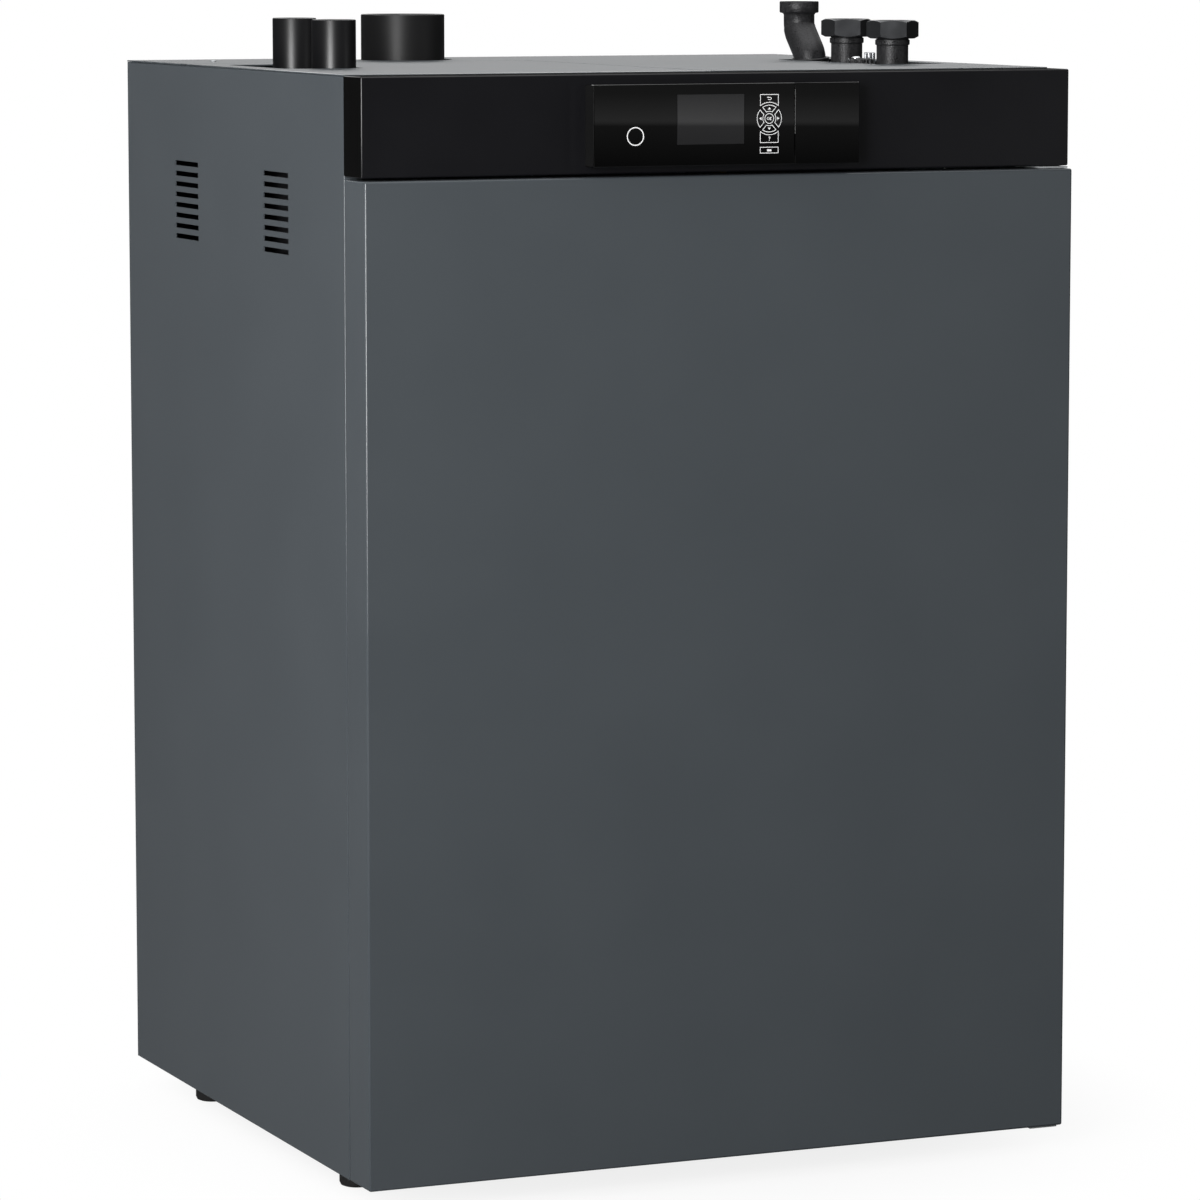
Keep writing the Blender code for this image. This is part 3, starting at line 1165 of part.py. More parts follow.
def rotary_valve():
    """Burn-back lock: a vaned wheel in a housing between the store and the feed tube."""
    half_wide = VALVE_WIDTH / 2
    half_long = VALVE_LENGTH / 2
    housing = add("rotary_valve_housing",
                  block((FEED_X - half_wide, FIREBOX_MIDDLE - half_long, VALVE_BOTTOM),
                        (FEED_X + half_wide, FIREBOX_MIDDLE + half_long, VALVE_TOP)), "alloy")
    inside = VALVE_LENGTH - 2 * VALVE_WALL
    cut(housing, rod("Y", (FEED_X, FIREBOX_MIDDLE - inside / 2, VALVE_Z), inside, VALVE_RADIUS))
    half = VALVE_THROAT / 2
    mouth = CHUTE_WIDTH / 2 - AUGER_TUBE_WALL
    cut(housing, block((FEED_X - half, FIREBOX_MIDDLE - mouth, VALVE_BOTTOM - OVERRUN),
                       (FEED_X + half, FIREBOX_MIDDLE + mouth, VALVE_Z)))
    cut(housing, block((FEED_X - half, FIREBOX_MIDDLE - half, VALVE_Z),
                       (FEED_X + half, FIREBOX_MIDDLE + half, VALVE_TOP + OVERRUN)))
    cut(housing, rod("Y", (FEED_X, FIREBOX_MIDDLE - half_long - OVERRUN, VALVE_Z),
                     VALVE_WALL + 2 * OVERRUN, VALVE_SHAFT_RADIUS + RUNNING, COARSE))
    wheel_length = inside - 2 * RUNNING
    reach = VALVE_WALL + VALVE_GEARBOX_DEPTH / 2
    wheel = add("rotary_valve_wheel",
                rod("Y", (FEED_X, FIREBOX_MIDDLE - wheel_length / 2, VALVE_Z), wheel_length,
                    VALVE_HUB_RADIUS), "steel", (FEED_X, FIREBOX_MIDDLE, VALVE_Z))
    weld(wheel, rod("Y", (FEED_X, FIREBOX_MIDDLE - wheel_length / 2 - reach, VALVE_Z),
                    reach + RUNNING, VALVE_SHAFT_RADIUS, COARSE))
    tip = VALVE_RADIUS - RUNNING
    for vane in range(VALVE_VANES):
        angle = math.tau * (vane + 0.5) / VALVE_VANES
        along = Vector((math.cos(angle), math.sin(angle)))
        across = Vector((-along.y, along.x)) * (VALVE_VANE / 2)
        centre = Vector((FEED_X, VALVE_Z))
        outline = [centre + along * radius + across * sign for radius, sign in
                   ((VALVE_HUB_RADIUS / 2, -1), (tip, -1), (tip, 1), (VALVE_HUB_RADIUS / 2, 1))]
        weld(wheel, prism("Y", outline, FIREBOX_MIDDLE - wheel_length / 2 + RUNNING,
                          FIREBOX_MIDDLE + wheel_length / 2 - RUNNING))


def valve_motor():
    face = FIREBOX_MIDDLE - VALVE_LENGTH / 2 - FIT
    half = VALVE_GEARBOX / 2
    motor = add("valve_motor", block((FEED_X - half, face - VALVE_GEARBOX_DEPTH, VALVE_Z - half),
                                     (FEED_X + half, face, VALVE_Z + half)), "motor")
    weld(motor, rod("Y", (FEED_X, face - VALVE_GEARBOX_DEPTH - VALVE_MOTOR_LENGTH, VALVE_Z),
                    VALVE_MOTOR_LENGTH + MOTOR_BOSS, VALVE_MOTOR_RADIUS))
    cut(motor, rod("Y", (FEED_X, face - VALVE_GEARBOX_DEPTH / 2 - 2 * RUNNING, VALVE_Z),
                   VALVE_GEARBOX_DEPTH, VALVE_SHAFT_RADIUS + RUNNING, COARSE))


# Pellet store and suction unit

HOPPER_LEFT = LEFT + HOPPER_INSET
HOPPER_RIGHT = BOILER_LEFT - INSULATION - HOPPER_GAP
HOPPER_FRONT = FRONT + HOPPER_SETBACK
HOPPER_BACK = BACK - HOPPER_BACK_SPACE


def rectangle(left, right, near, far, z):
    return [(left, near, z), (right, near, z), (right, far, z), (left, far, z)]


def pellet_hopper():
    """Day store with a funnel floor that ends on the rotary valve."""
    knee = HOPPER_TOP - HOPPER_WALL_HEIGHT
    outlet = VALVE_TOP + FIT
    half = VALVE_THROAT / 2
    loops = []
    for inward, reverse in ((0, False), (HOPPER_SHEET, True)):
        outer = half + HOPPER_SHEET - inward
        rows = [rectangle(HOPPER_LEFT + inward, HOPPER_RIGHT - inward, HOPPER_FRONT + inward,
                          HOPPER_BACK - inward, HOPPER_TOP),
                rectangle(HOPPER_LEFT + inward, HOPPER_RIGHT - inward, HOPPER_FRONT + inward,
                          HOPPER_BACK - inward, knee),
                rectangle(FEED_X - outer, FEED_X + outer, FIREBOX_MIDDLE - outer,
                          FIREBOX_MIDDLE + outer, outlet)]
        loops += reversed(rows) if reverse else rows
    add("pellet_hopper", closed_loft(loops), "steel")


DOME_LEFT = HOPPER_LEFT + DOME_LEFT_LEDGE
DOME_RIGHT = HOPPER_RIGHT - DOME_RIGHT_LEDGE
HOSE_X = LEFT + HOSE_INSET
HOSE_Y = COVER_BACK - HOSE_BACK_SPACE
DOME_FRONT = HOSE_Y - HOSE_SPACING - DOME_LEAD
DOME_BACK = HOSE_Y + DOME_TAIL
HOSE_PLACES = {"return_air_stub": HOSE_Y - HOSE_SPACING, "pellet_hose_stub": HOSE_Y}
TURBINE_X = (DOME_LEFT + DOME_RIGHT) / 2
TURBINE_Z = LID_TOP + DOME_HEIGHT / 2


def suction_separator():
    """Lid of the store with the box in which pellets and air part."""
    unit = add("suction_separator",
               block((HOPPER_LEFT, HOPPER_FRONT, HOPPER_TOP + FIT),
                     (HOPPER_RIGHT, HOPPER_BACK, LID_TOP)), "black_satin")
    weld(unit, block((DOME_LEFT, DOME_FRONT, LID_TOP - LID_SHEET / 2),
                     (DOME_RIGHT, DOME_BACK, DOME_TOP)))
    cut(unit, block((DOME_LEFT + LID_SHEET, DOME_FRONT + LID_SHEET, HOPPER_TOP - OVERRUN),
                    (DOME_RIGHT - LID_SHEET, DOME_BACK - LID_SHEET, DOME_TOP - LID_SHEET)))
    for y in HOSE_PLACES.values():
        cut(unit, rod("Z", (HOSE_X, y, DOME_TOP - OVERRUN), 2 * OVERRUN, HOSE_RADIUS - HOSE_WALL))
    cut(unit, rod("Y", (TURBINE_X, DOME_FRONT - OVERRUN, TURBINE_Z), 2 * OVERRUN,
                  TURBINE_CAP_RADIUS / 2))


def hose_stubs():
    """Hose connections for pellets and air, which stand through the lift-off cover."""
    bottom = DOME_TOP + FIT
    height = TOP + HOSE_HEIGHT - bottom
    for name, y in HOSE_PLACES.items():
        inner = HOSE_RADIUS - HOSE_WALL
        profile = [(inner, 0), (HOSE_FLANGE_RADIUS, 0), (HOSE_FLANGE_RADIUS, HOSE_FLANGE),
                   (HOSE_RADIUS, HOSE_FLANGE), (HOSE_RADIUS, height), (inner, height)]
        add(name, turned(profile, (HOSE_X, y, bottom)), "black_satin")


def suction_turbine():
    """Turbine on the front wall of the separator box."""
    near = DOME_FRONT - FIT - TURBINE_LENGTH
    cap = TURBINE_LENGTH - TURBINE_BODY_LENGTH
    profile = [(0, 0), (TURBINE_CAP_RADIUS, 0), (TURBINE_CAP_RADIUS, cap), (TURBINE_RADIUS, cap),
               (TURBINE_RADIUS, TURBINE_LENGTH), (0, TURBINE_LENGTH)]
    add("suction_turbine", turned(profile, (TURBINE_X, near, TURBINE_Z), "Y", MEDIUM), "motor")


# Heat exchanger cleaning and flue

SMOKE_BOTTOM = BOILER_TOP + FIT
SMOKE_TOP = SMOKE_BOTTOM + SMOKE_BOX_HEIGHT
FLUE_X = BOILER_LEFT - FLUE_OFFSET
FLUE_Y = BACK - FLUE_BACK_SPACE
FAN_Z = SMOKE_BOTTOM + FAN_RISE
FAN_LEFT = FLUE_X - FAN_WIDTH / 2
FAN_RIGHT = FLUE_X + FAN_WIDTH / 2
COLLAR_SEAT = FAN_Z + FAN_RADIUS + FAN_WALL + COLLAR_FLANGE
DUCT_LEFT = FAN_RIGHT + FIT
DUCT_RIGHT = DUCT_LEFT + DUCT_WIDTH
DUCT_BOTTOM = FAN_Z - DUCT_HEIGHT / 2
DUCT_MOUTH_LEFT = DUCT_RIGHT - DUCT_WALL - DUCT_MOUTH
RACK_CENTRE = (BOILER_MIDDLE, (BOILER_FRONT + BOILER_BACK) / 2)


def smoke_box():
    """Chamber over the fire tubes; it holds the cleaning rack."""
    low = (BOILER_LEFT, BOILER_FRONT, SMOKE_BOTTOM)
    high = (BOILER_RIGHT, BOILER_BACK, SMOKE_TOP)
    box = add("smoke_box", tray(low, high, (0, 0, -1), SMOKE_BOX_WALL, SMOKE_BOX_WALL), "vessel")
    cut(box, block((DUCT_MOUTH_LEFT, BOILER_BACK - OVERRUN, DUCT_BOTTOM + OVERRUN),
                   (DUCT_MOUTH_LEFT + DUCT_MOUTH, BOILER_BACK + OVERRUN,
                    DUCT_BOTTOM + DUCT_HEIGHT - OVERRUN)))
    cut(box, rod("Z", (*RACK_CENTRE, SMOKE_TOP - OVERRUN), 2 * OVERRUN,
                 LIFT_ROD_RADIUS + RUNNING, COARSE))


def twisted_strip(x, y, top, length):
    """One turbulator: a flat bar twisted along its length."""
    bm = bmesh.new()
    rows = []
    for step in range(TURBULATOR_STEPS + 1):
        angle = math.tau * TURBULATOR_TURNS * step / TURBULATOR_STEPS
        along = Vector((math.cos(angle), math.sin(angle), 0)) * (TURBULATOR_WIDTH / 2)
        across = Vector((-math.sin(angle), math.cos(angle), 0)) * (TURBULATOR_THICKNESS / 2)
        centre = Vector((x, y, top - length * step / TURBULATOR_STEPS))
        rows.append([bm.verts.new(centre + sign * along + face * across)
                     for sign, face in ((-1, 1), (1, 1), (1, -1), (-1, -1))])
    for row, after in zip(rows, rows[1:]):
        for left, right in ((0, 1), (3, 2)):
            bm.faces.new((row[left], row[right], after[right]))
            bm.faces.new((row[left], after[right], after[left]))
        bm.faces.new((row[0], row[3], after[3], after[0]))
        bm.faces.new((row[1], row[2], after[2], after[1]))
    bm.faces.new(rows[0])
    bm.faces.new(rows[-1])
    return bm


def cleaning_rack():
    """Plate that lifts the turbulators in the fire tubes by a rod."""
    bottom = SMOKE_BOTTOM + RACK_RISE
    half_x = TUBE_SPACING * (TUBE_COLUMNS - 1) / 2 + RACK_MARGIN
    half_y = TUBE_SPACING * (TUBE_ROWS - 1) / 2 + RACK_MARGIN
    x, y = RACK_CENTRE
    rack = add("cleaning_rack", block((x - half_x, y - half_y, bottom),
                                      (x + half_x, y + half_y, bottom + RACK_PLATE)), "steel",
               (x, y, bottom))
    top = bottom + RACK_PLATE / 2
    for place in tube_places():
        weld(rack, twisted_strip(*place, top, top - FIREBOX_TOP - TURBULATOR_RISE))
    weld(rack, rod("Z", (x, y, bottom + RACK_PLATE / 2), LIFT_ROD_LENGTH + SMOKE_BOX_HEIGHT
                   - RACK_RISE - RACK_PLATE - LIFT_ROD_LENGTH / 2, LIFT_ROD_RADIUS, COARSE))


def smoke_duct():
    """Box duct from the smoke box round to the flue fan."""
    near = BOILER_BACK + FIT
    low = Vector((DUCT_LEFT, near, DUCT_BOTTOM))
    high = Vector((DUCT_RIGHT, FLUE_Y + DUCT_TAIL, DUCT_BOTTOM + DUCT_HEIGHT))
    wall = Vector((DUCT_WALL, DUCT_WALL, DUCT_WALL))
    duct = add("smoke_duct", block(low, high), "steel")
    cut(duct, block(low + wall, high - wall))
    cut(duct, block((DUCT_MOUTH_LEFT, near - OVERRUN, DUCT_BOTTOM + OVERRUN),
                    (DUCT_MOUTH_LEFT + DUCT_MOUTH, near + OVERRUN,
                     DUCT_BOTTOM + DUCT_HEIGHT - OVERRUN)))
    cut(duct, rod("X", (DUCT_LEFT - OVERRUN, FLUE_Y, FAN_Z), 2 * OVERRUN, FAN_INLET_RADIUS))


def fan_housing():
    """Drum of the flue fan with an upright collar for the flue stub."""
    drum = add("fan_housing", rod("X", (FAN_LEFT, FLUE_Y, FAN_Z), FAN_WIDTH, FAN_RADIUS, MEDIUM),
               "alloy")
    collar = FLUE_RADIUS - FLUE_WALL - FIT
    rise = FAN_RADIUS + COLLAR_RISE
    weld(drum, rod("Z", (FLUE_X, FLUE_Y, FAN_Z), rise + COLLAR_FLANGE, collar, MEDIUM))
    weld(drum, rod("Z", (FLUE_X, FLUE_Y, COLLAR_SEAT - COLLAR_FLANGE), COLLAR_FLANGE,
                   COLLAR_FLANGE_RADIUS, MEDIUM))
    cut(drum, rod("X", (FAN_LEFT + FAN_WALL, FLUE_Y, FAN_Z), FAN_WIDTH - 2 * FAN_WALL,
                  FAN_RADIUS - FAN_WALL, MEDIUM))
    cut(drum, rod("Z", (FLUE_X, FLUE_Y, FAN_Z), rise + OVERRUN, collar - FAN_WALL, MEDIUM))
    cut(drum, rod("X", (FAN_RIGHT - OVERRUN, FLUE_Y, FAN_Z), 2 * OVERRUN, FAN_INLET_RADIUS))
    cut(drum, rod("X", (FAN_LEFT - OVERRUN, FLUE_Y, FAN_Z), 2 * OVERRUN,
                  FAN_SHAFT_RADIUS + RUNNING, COARSE))


def fan_impeller():
    """Back plate with straight blades, on the motor's shaft."""
    start = FAN_LEFT + FAN_WALL + 2 * RUNNING
    shaft_start = FAN_LEFT - FAN_MOTOR_LENGTH / 4
    wheel = add("fan_impeller",
                rod("X", (start, FLUE_Y, FAN_Z), IMPELLER_BLADE, IMPELLER_RADIUS), "steel",
                (FAN_LEFT, FLUE_Y, FAN_Z))
    weld(wheel, rod("X", (shaft_start, FLUE_Y, FAN_Z), start - shaft_start + IMPELLER_WIDTH / 2,
                    FAN_SHAFT_RADIUS, COARSE))
    weld(wheel, rod("X", (start + IMPELLER_BLADE / 2, FLUE_Y, FAN_Z), IMPELLER_WIDTH / 2,
                    IMPELLER_HUB_RADIUS, COARSE))
    for blade in range(IMPELLER_BLADES):
        angle = math.tau * (blade + 0.25) / IMPELLER_BLADES
        along = Vector((math.cos(angle), math.sin(angle)))
        across = Vector((-along.y, along.x)) * (IMPELLER_BLADE / 2)
        centre = Vector((FLUE_Y, FAN_Z))
        tip = IMPELLER_RADIUS - IMPELLER_BLADE
        outline = [centre + along * radius + across * sign for radius, sign in
                   ((FAN_INLET_RADIUS, -1), (tip, -1), (tip, 1), (FAN_INLET_RADIUS, 1))]
        weld(wheel, prism("X", outline, start + IMPELLER_BLADE / 2, start + IMPELLER_WIDTH))


def fan_motor():
    right = FAN_LEFT - FIT
    motor = add("fan_motor", rod("X", (right - FAN_MOTOR_LENGTH, FLUE_Y, FAN_Z),
                                 FAN_MOTOR_LENGTH, FAN_MOTOR_RADIUS), "motor")
    cut(motor, rod("X", (right - FAN_MOTOR_LENGTH / 2, FLUE_Y, FAN_Z), FAN_MOTOR_LENGTH,
                   FAN_SHAFT_RADIUS + RUNNING, COARSE))


def flue_stub():
    bottom = COLLAR_SEAT + FIT
    height = TOP + FLUE_HEIGHT - bottom
    add("flue_stub", ring("Z", (FLUE_X, FLUE_Y, bottom), height, FLUE_RADIUS,
                          FLUE_RADIUS - FLUE_WALL, FINE), "black_satin")


# Hydraulics

NUT_BOTTOM = TOP + NUT_TOP - NUT_HEIGHT


def socket_bend(y, socket_z):
    """Route of a pipe out of the vessel's side and up."""
    path = [(BOILER_RIGHT + FIT, y, socket_z)]
    return path + [(x, y, z) for x, z in
                   arc((PIPE_X - PIPE_BEND, socket_z + PIPE_BEND), PIPE_BEND, -90, 0, BEND_STEPS)]


def riser(name, y, socket_z):
    """Bent pipe from the vessel up to its union nut, with the collar the nut bears on."""
    collar_top = NUT_BOTTOM - FIT
    path = socket_bend(y, socket_z)
    radii = [PIPE_RADIUS] * len(path)
    wide = PIPE_RADIUS + PIPE_COLLAR
    for z, radius in ((collar_top - PIPE_COLLAR_HEIGHT - PIPE_COLLAR, PIPE_RADIUS),
                      (collar_top - PIPE_COLLAR_HEIGHT, wide), (collar_top - FIT, wide),
                      (collar_top, PIPE_RADIUS), (NUT_BOTTOM + NUT_HEIGHT - NUT_CHAMFER, PIPE_RADIUS)):
        path.append((PIPE_X, y, z))
        radii.append(radius)
    add(name, swept_tube(path, radii, PIPE_WALL), "black_iron")


def union_nut(name, y):
    """Loose hexagon nut that pulls a pipe down on the riser."""
    corner = NUT_ACROSS_FLATS / math.sqrt(3)
    turn = 360 / 12 - 90 - NUT_TURN_DEGREES
    outline = arc((PIPE_X, y), corner, turn, turn + 300, 5)
    nut = add(name, prism("Z", outline, NUT_BOTTOM, NUT_BOTTOM + NUT_HEIGHT), "black_iron",
              (PIPE_X, y, NUT_BOTTOM))
    cut(nut, rod("Z", (PIPE_X, y, NUT_BOTTOM - OVERRUN), NUT_HEIGHT + 2 * OVERRUN,
                 PIPE_RADIUS + NUT_BORE_GAP))


def swan_neck_bend():
    """Safety line: a riser that ends in an offset bend of malleable iron."""
    far = SWAN_Y + SWAN_OFFSET
    top = TOP + SWAN_TOP
    high = top - SWAN_COLLAR_HEIGHT
    low = TOP - SWAN_BEND_DROP
    slant = SWAN_OFFSET - 2 * SWAN_BEND * (1 - math.cos(math.radians(45)))
    rise = 2 * SWAN_BEND * math.sin(math.radians(45)) + slant
    path = socket_bend(SWAN_Y, SUPPLY_Z)
    path += [(PIPE_X, y, z) for y, z in arc((SWAN_Y + SWAN_BEND, low), SWAN_BEND, 180, 135,
                                            SWAN_STEPS)]
    path += [(PIPE_X, y, z) for y, z in arc((far - SWAN_BEND, low + rise), SWAN_BEND, -45, 0,
                                            SWAN_STEPS)]
    path.append((PIPE_X, far, high))
    radii = [PIPE_RADIUS] * len(path)
    path += [(PIPE_X, far, high + FIT), (PIPE_X, far, top)]
    radii += [SWAN_COLLAR_RADIUS, SWAN_COLLAR_RADIUS]
    add("swan_neck_bend", swept_tube(path, radii, PIPE_WALL), "black_iron")


def build_boiler():
    remove_everything()
    base_tray()
    feet()
    side_panel("left_side_panel", -1)
    side_panel("right_side_panel", 1)
    rear_panel()
    top_panel()
    lift_off_cover()
    front_crossbar()
    fascia()
    front_door()
    hinges()
    control_housing()
    display_window()
    control_flap()
    control_board()
    keys()
    boiler_body()
    boiler_insulation()
    combustion_door()
    combustion_door_handle()
    burner_pot()
    burner_grate()
    igniter()
    ash_box()
    ash_box_handle()
    auger_tube()
    feed_auger()
    feed_motor()
    rotary_valve()
    valve_motor()
    pellet_hopper()
    suction_separator()
    hose_stubs()
    suction_turbine()
    smoke_box()
    cleaning_rack()
    smoke_duct()
    fan_housing()
    fan_impeller()
    fan_motor()
    flue_stub()
    riser("supply_pipe", SUPPLY_Y, SUPPLY_Z)
    riser("return_pipe", RETURN_Y, RETURN_Z)
    union_nut("supply_union_nut", SUPPLY_Y)
    union_nut("return_union_nut", RETURN_Y)
    swan_neck_bend()


build_boiler()
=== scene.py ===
"""Looks of the pellet boiler: the photographed front three-quarter view and everything inside."""

import math

import bmesh
import bpy
from mathutils import Matrix, Vector


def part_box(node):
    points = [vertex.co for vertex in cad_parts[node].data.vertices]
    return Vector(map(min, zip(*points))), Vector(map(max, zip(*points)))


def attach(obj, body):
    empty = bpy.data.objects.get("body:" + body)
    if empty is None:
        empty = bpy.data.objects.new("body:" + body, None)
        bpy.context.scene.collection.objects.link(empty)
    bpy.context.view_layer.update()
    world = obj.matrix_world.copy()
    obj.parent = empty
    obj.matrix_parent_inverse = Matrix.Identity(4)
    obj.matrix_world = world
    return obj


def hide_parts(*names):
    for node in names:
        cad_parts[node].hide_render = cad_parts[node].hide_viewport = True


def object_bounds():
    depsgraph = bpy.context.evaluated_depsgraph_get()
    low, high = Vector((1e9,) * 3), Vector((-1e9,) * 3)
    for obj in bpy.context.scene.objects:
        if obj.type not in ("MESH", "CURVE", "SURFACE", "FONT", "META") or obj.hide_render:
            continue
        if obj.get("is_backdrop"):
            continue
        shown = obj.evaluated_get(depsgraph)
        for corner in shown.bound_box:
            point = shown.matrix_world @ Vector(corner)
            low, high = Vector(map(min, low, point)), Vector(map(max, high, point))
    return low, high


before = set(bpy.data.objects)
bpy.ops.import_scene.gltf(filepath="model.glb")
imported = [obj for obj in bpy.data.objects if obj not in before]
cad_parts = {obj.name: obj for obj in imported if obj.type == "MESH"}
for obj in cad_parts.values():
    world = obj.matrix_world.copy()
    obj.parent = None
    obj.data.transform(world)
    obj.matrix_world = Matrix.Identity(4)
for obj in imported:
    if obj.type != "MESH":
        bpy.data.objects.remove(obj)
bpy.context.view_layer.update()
scene = bpy.context.scene
scene.view_settings.view_transform = "Standard"

# Camera at the photograph's viewing angle
# It stands in front on the left, a little over the top of the boiler and far away, and
# looks slightly down.
EYE_PLACE = (-2.48042, -5.77265, 1.38673)
EYE_DOWN = 7.014
EYE_HEADING = 23.378
EYE_LENS = 162.508
eye = bpy.data.objects.new("camera", bpy.data.cameras.new("camera"))
scene.collection.objects.link(eye)
scene.camera = eye
eye.location = EYE_PLACE
eye.rotation_euler = (math.radians(90 - EYE_DOWN), 0, -math.radians(EYE_HEADING))
eye.data.sensor_width = 36
eye.data.lens = EYE_LENS

# Surroundings
# White for the camera, and a soft light for matt surfaces, mostly from the left and behind.
# Reflections see a dark room with a narrow lighter band near the horizon in front, a bright
# wall high up behind the boiler and a dim ceiling.


def node(tree, kind, values=None, **settings):
    """Adds a shader node, sets its fields and its sockets, by name or by place."""
    made = tree.nodes.new(kind)
    for field, value in settings.items():
        setattr(made, field, value)
    for socket, value in (values or {}).items():
        if isinstance(value, bpy.types.NodeSocket):
            tree.links.new(value, made.inputs[socket])
        else:
            made.inputs[socket].default_value = value
    return made


def grey(level):
    """A plain grey, as a colour socket takes it."""
    return level, level, level, 1


def ramp(tree, factor, stops):
    """A colour ramp through (place, colour) stops; returns its colour socket."""
    made = node(tree, "ShaderNodeValToRGB", {0: factor})
    steps = made.color_ramp.elements
    while len(steps) < len(stops):
        steps.new(0.5)
    for step, (place, colour) in zip(steps, stops):
        step.position = place
        step.color = (*colour, 1) if isinstance(colour, tuple) else grey(colour)
    return made.outputs[0]


def span(tree, value, start, end, least=0.0, most=1.0):
    """Maps the stretch from start to end onto least to most, and stops at both ends."""
    return node(tree, "ShaderNodeMapRange",
                {0: value, 1: start, 2: end, 3: least, 4: most}).outputs[0]


def blend(tree, factor, first, second, mode="MIX"):
    """Mixes two colours, or adds the second to the first; returns the colour socket."""
    return node(tree, "ShaderNodeMix", {"Factor": factor, 6: first, 7: second}, data_type="RGBA",
                blend_type=mode).outputs[2]


def toward(tree, where, heading):
    """How far a direction in the room points along a heading."""
    return node(tree, "ShaderNodeVectorMath", {0: where, 1: heading},
                operation="DOT_PRODUCT").outputs["Value"]


LEFT_LIGHT = 2.55
MIDDLE_LIGHT = 0.06
RIGHT_LIGHT = 0.16
REAR_FILL = 1.0
ROOM_DARK = 0.012
WALL_BASE = 0.20
WALL_LIGHT = 11.0
CEILING_LIGHT = 1.7
WALL_HEADING = (0.394, 0.911, 0)
FILL_HEADING = (0.6, 0.8, 0)
room = bpy.data.worlds.new("room")
scene.world = room
room.use_nodes = True
tree = room.node_tree
tree.nodes.clear()
where = node(tree, "ShaderNodeTexCoord").outputs["Generated"]
turn = node(tree, "ShaderNodeSeparateXYZ", {0: where}).outputs
band = ramp(tree, span(tree, turn["Z"], -0.06, 0.06),
            [(0.0, 0.02), (0.148, 0.04), (0.2098, 0.13), (0.2118, 0.44), (0.256, 0.17),
             (0.34, 0.10), (1.0, 0.12)])
level = blend(tree, span(tree, turn["Y"], -0.45, -0.1), band, grey(ROOM_DARK))
behind = toward(tree, where, WALL_HEADING)
wall = ramp(tree, span(tree, behind, 0.68, 0.94), [(0.0, WALL_BASE), (1.0, WALL_LIGHT)])
ceiling = blend(tree, span(tree, turn["Z"], 0.65, 0.85), wall, grey(CEILING_LIGHT))
mirrored = blend(tree, span(tree, turn["Z"], 0.24, 0.75), level, ceiling)
soft = ramp(tree, span(tree, turn["X"], -1, 1),
            [(0.0, LEFT_LIGHT), (0.5, MIDDLE_LIGHT), (1.0, RIGHT_LIGHT)])
fill = span(tree, toward(tree, where, FILL_HEADING), 0.15, 0.85, 0, REAR_FILL)
lit = blend(tree, 1.0, soft, fill, "ADD")
path = node(tree, "ShaderNodeLightPath").outputs
seen = blend(tree, path["Is Glossy Ray"], lit, mirrored)
clear = node(tree, "ShaderNodeMath", {0: path["Is Camera Ray"], 1: path["Is Transmission Ray"]},
             operation="MAXIMUM").outputs[0]
sky = blend(tree, clear, seen, grey(1))
light = node(tree, "ShaderNodeBackground", {"Color": sky, "Strength": 1})
node(tree, "ShaderNodeOutputWorld", {0: light.outputs[0]})

# Lamps
# An upright soft box in front on the left is the main light and makes the bright stripe on
# the round stubs. A weaker one on the right makes the second stripe.


def lamp(name, place, aim, width, height, power):
    """A rectangular soft box at a place that points at another."""
    data = bpy.data.lights.new(name, "AREA")
    data.shape = "RECTANGLE"
    data.size = width
    data.size_y = height
    data.energy = power
    made = bpy.data.objects.new(name, data)
    scene.collection.objects.link(made)
    made.location = place
    made.visible_camera = False
    made.rotation_euler = (Vector(aim) - Vector(place)).to_track_quat("-Z", "Y").to_euler()


lamp("strip_front", place=(-2.67, -2.90, 1.52), aim=(-0.2, 0, 1.25), width=1.25, height=1.8,
     power=140)
lamp("strip_right", place=(3.6, -3.65, 1.3), aim=(0, 0, 1.1), width=1.0, height=2.4, power=6)

# Floor
# A pale disc that keeps the boiler's shadow near its feet and fades to plain white. It glows
# a little, so that it shows as pale as the backdrop.
FLOOR_RADIUS = 3.2
FLOOR_PLACE = (0, 0, -0.0005)
FLOOR_TONE = 0.93
FLOOR_BOUNCE = 0.12
FLOOR_GLOW = 0.84
SHADOW_START = 0.35
SHADOW_END = 0.75
floor_form = bmesh.new()
bmesh.ops.create_circle(floor_form, cap_ends=True, segments=96, radius=FLOOR_RADIUS)
floor_mesh = bpy.data.meshes.new("floor")
floor_form.to_mesh(floor_mesh)
floor_form.free()
floor = bpy.data.objects.new("floor", floor_mesh)
scene.collection.objects.link(floor)
floor.location = FLOOR_PLACE
white = bpy.data.materials.new("floor_white")
white.use_nodes = True
tree = white.node_tree
tree.nodes.clear()
where = node(tree, "ShaderNodeTexCoord").outputs["Object"]
spread = node(tree, "ShaderNodeVectorMath", {0: where}, operation="LENGTH").outputs["Value"]
fade = node(tree, "ShaderNodeMapRange", {0: spread, 1: SHADOW_START, 2: SHADOW_END},
            interpolation_type="SMOOTHSTEP").outputs[0]
plain = node(tree, "ShaderNodeEmission", {"Color": grey(1), "Strength": 1}).outputs[0]
shown = node(tree, "ShaderNodeLightPath").outputs["Is Camera Ray"]
tone = ramp(tree, shown, [(0.0, FLOOR_BOUNCE), (1.0, FLOOR_TONE)])
lit = node(tree, "ShaderNodeBsdfDiffuse", {"Color": tone}).outputs[0]
least = span(tree, fade, 0, 1, FLOOR_GLOW, 1)
share = node(tree, "ShaderNodeMath", {0: least, 1: shown}, operation="MULTIPLY").outputs[0]
mixed = node(tree, "ShaderNodeMixShader", {0: share, 1: lit, 2: plain}).outputs[0]
node(tree, "ShaderNodeOutputMaterial", {0: mixed})
floor_mesh.materials.append(white)
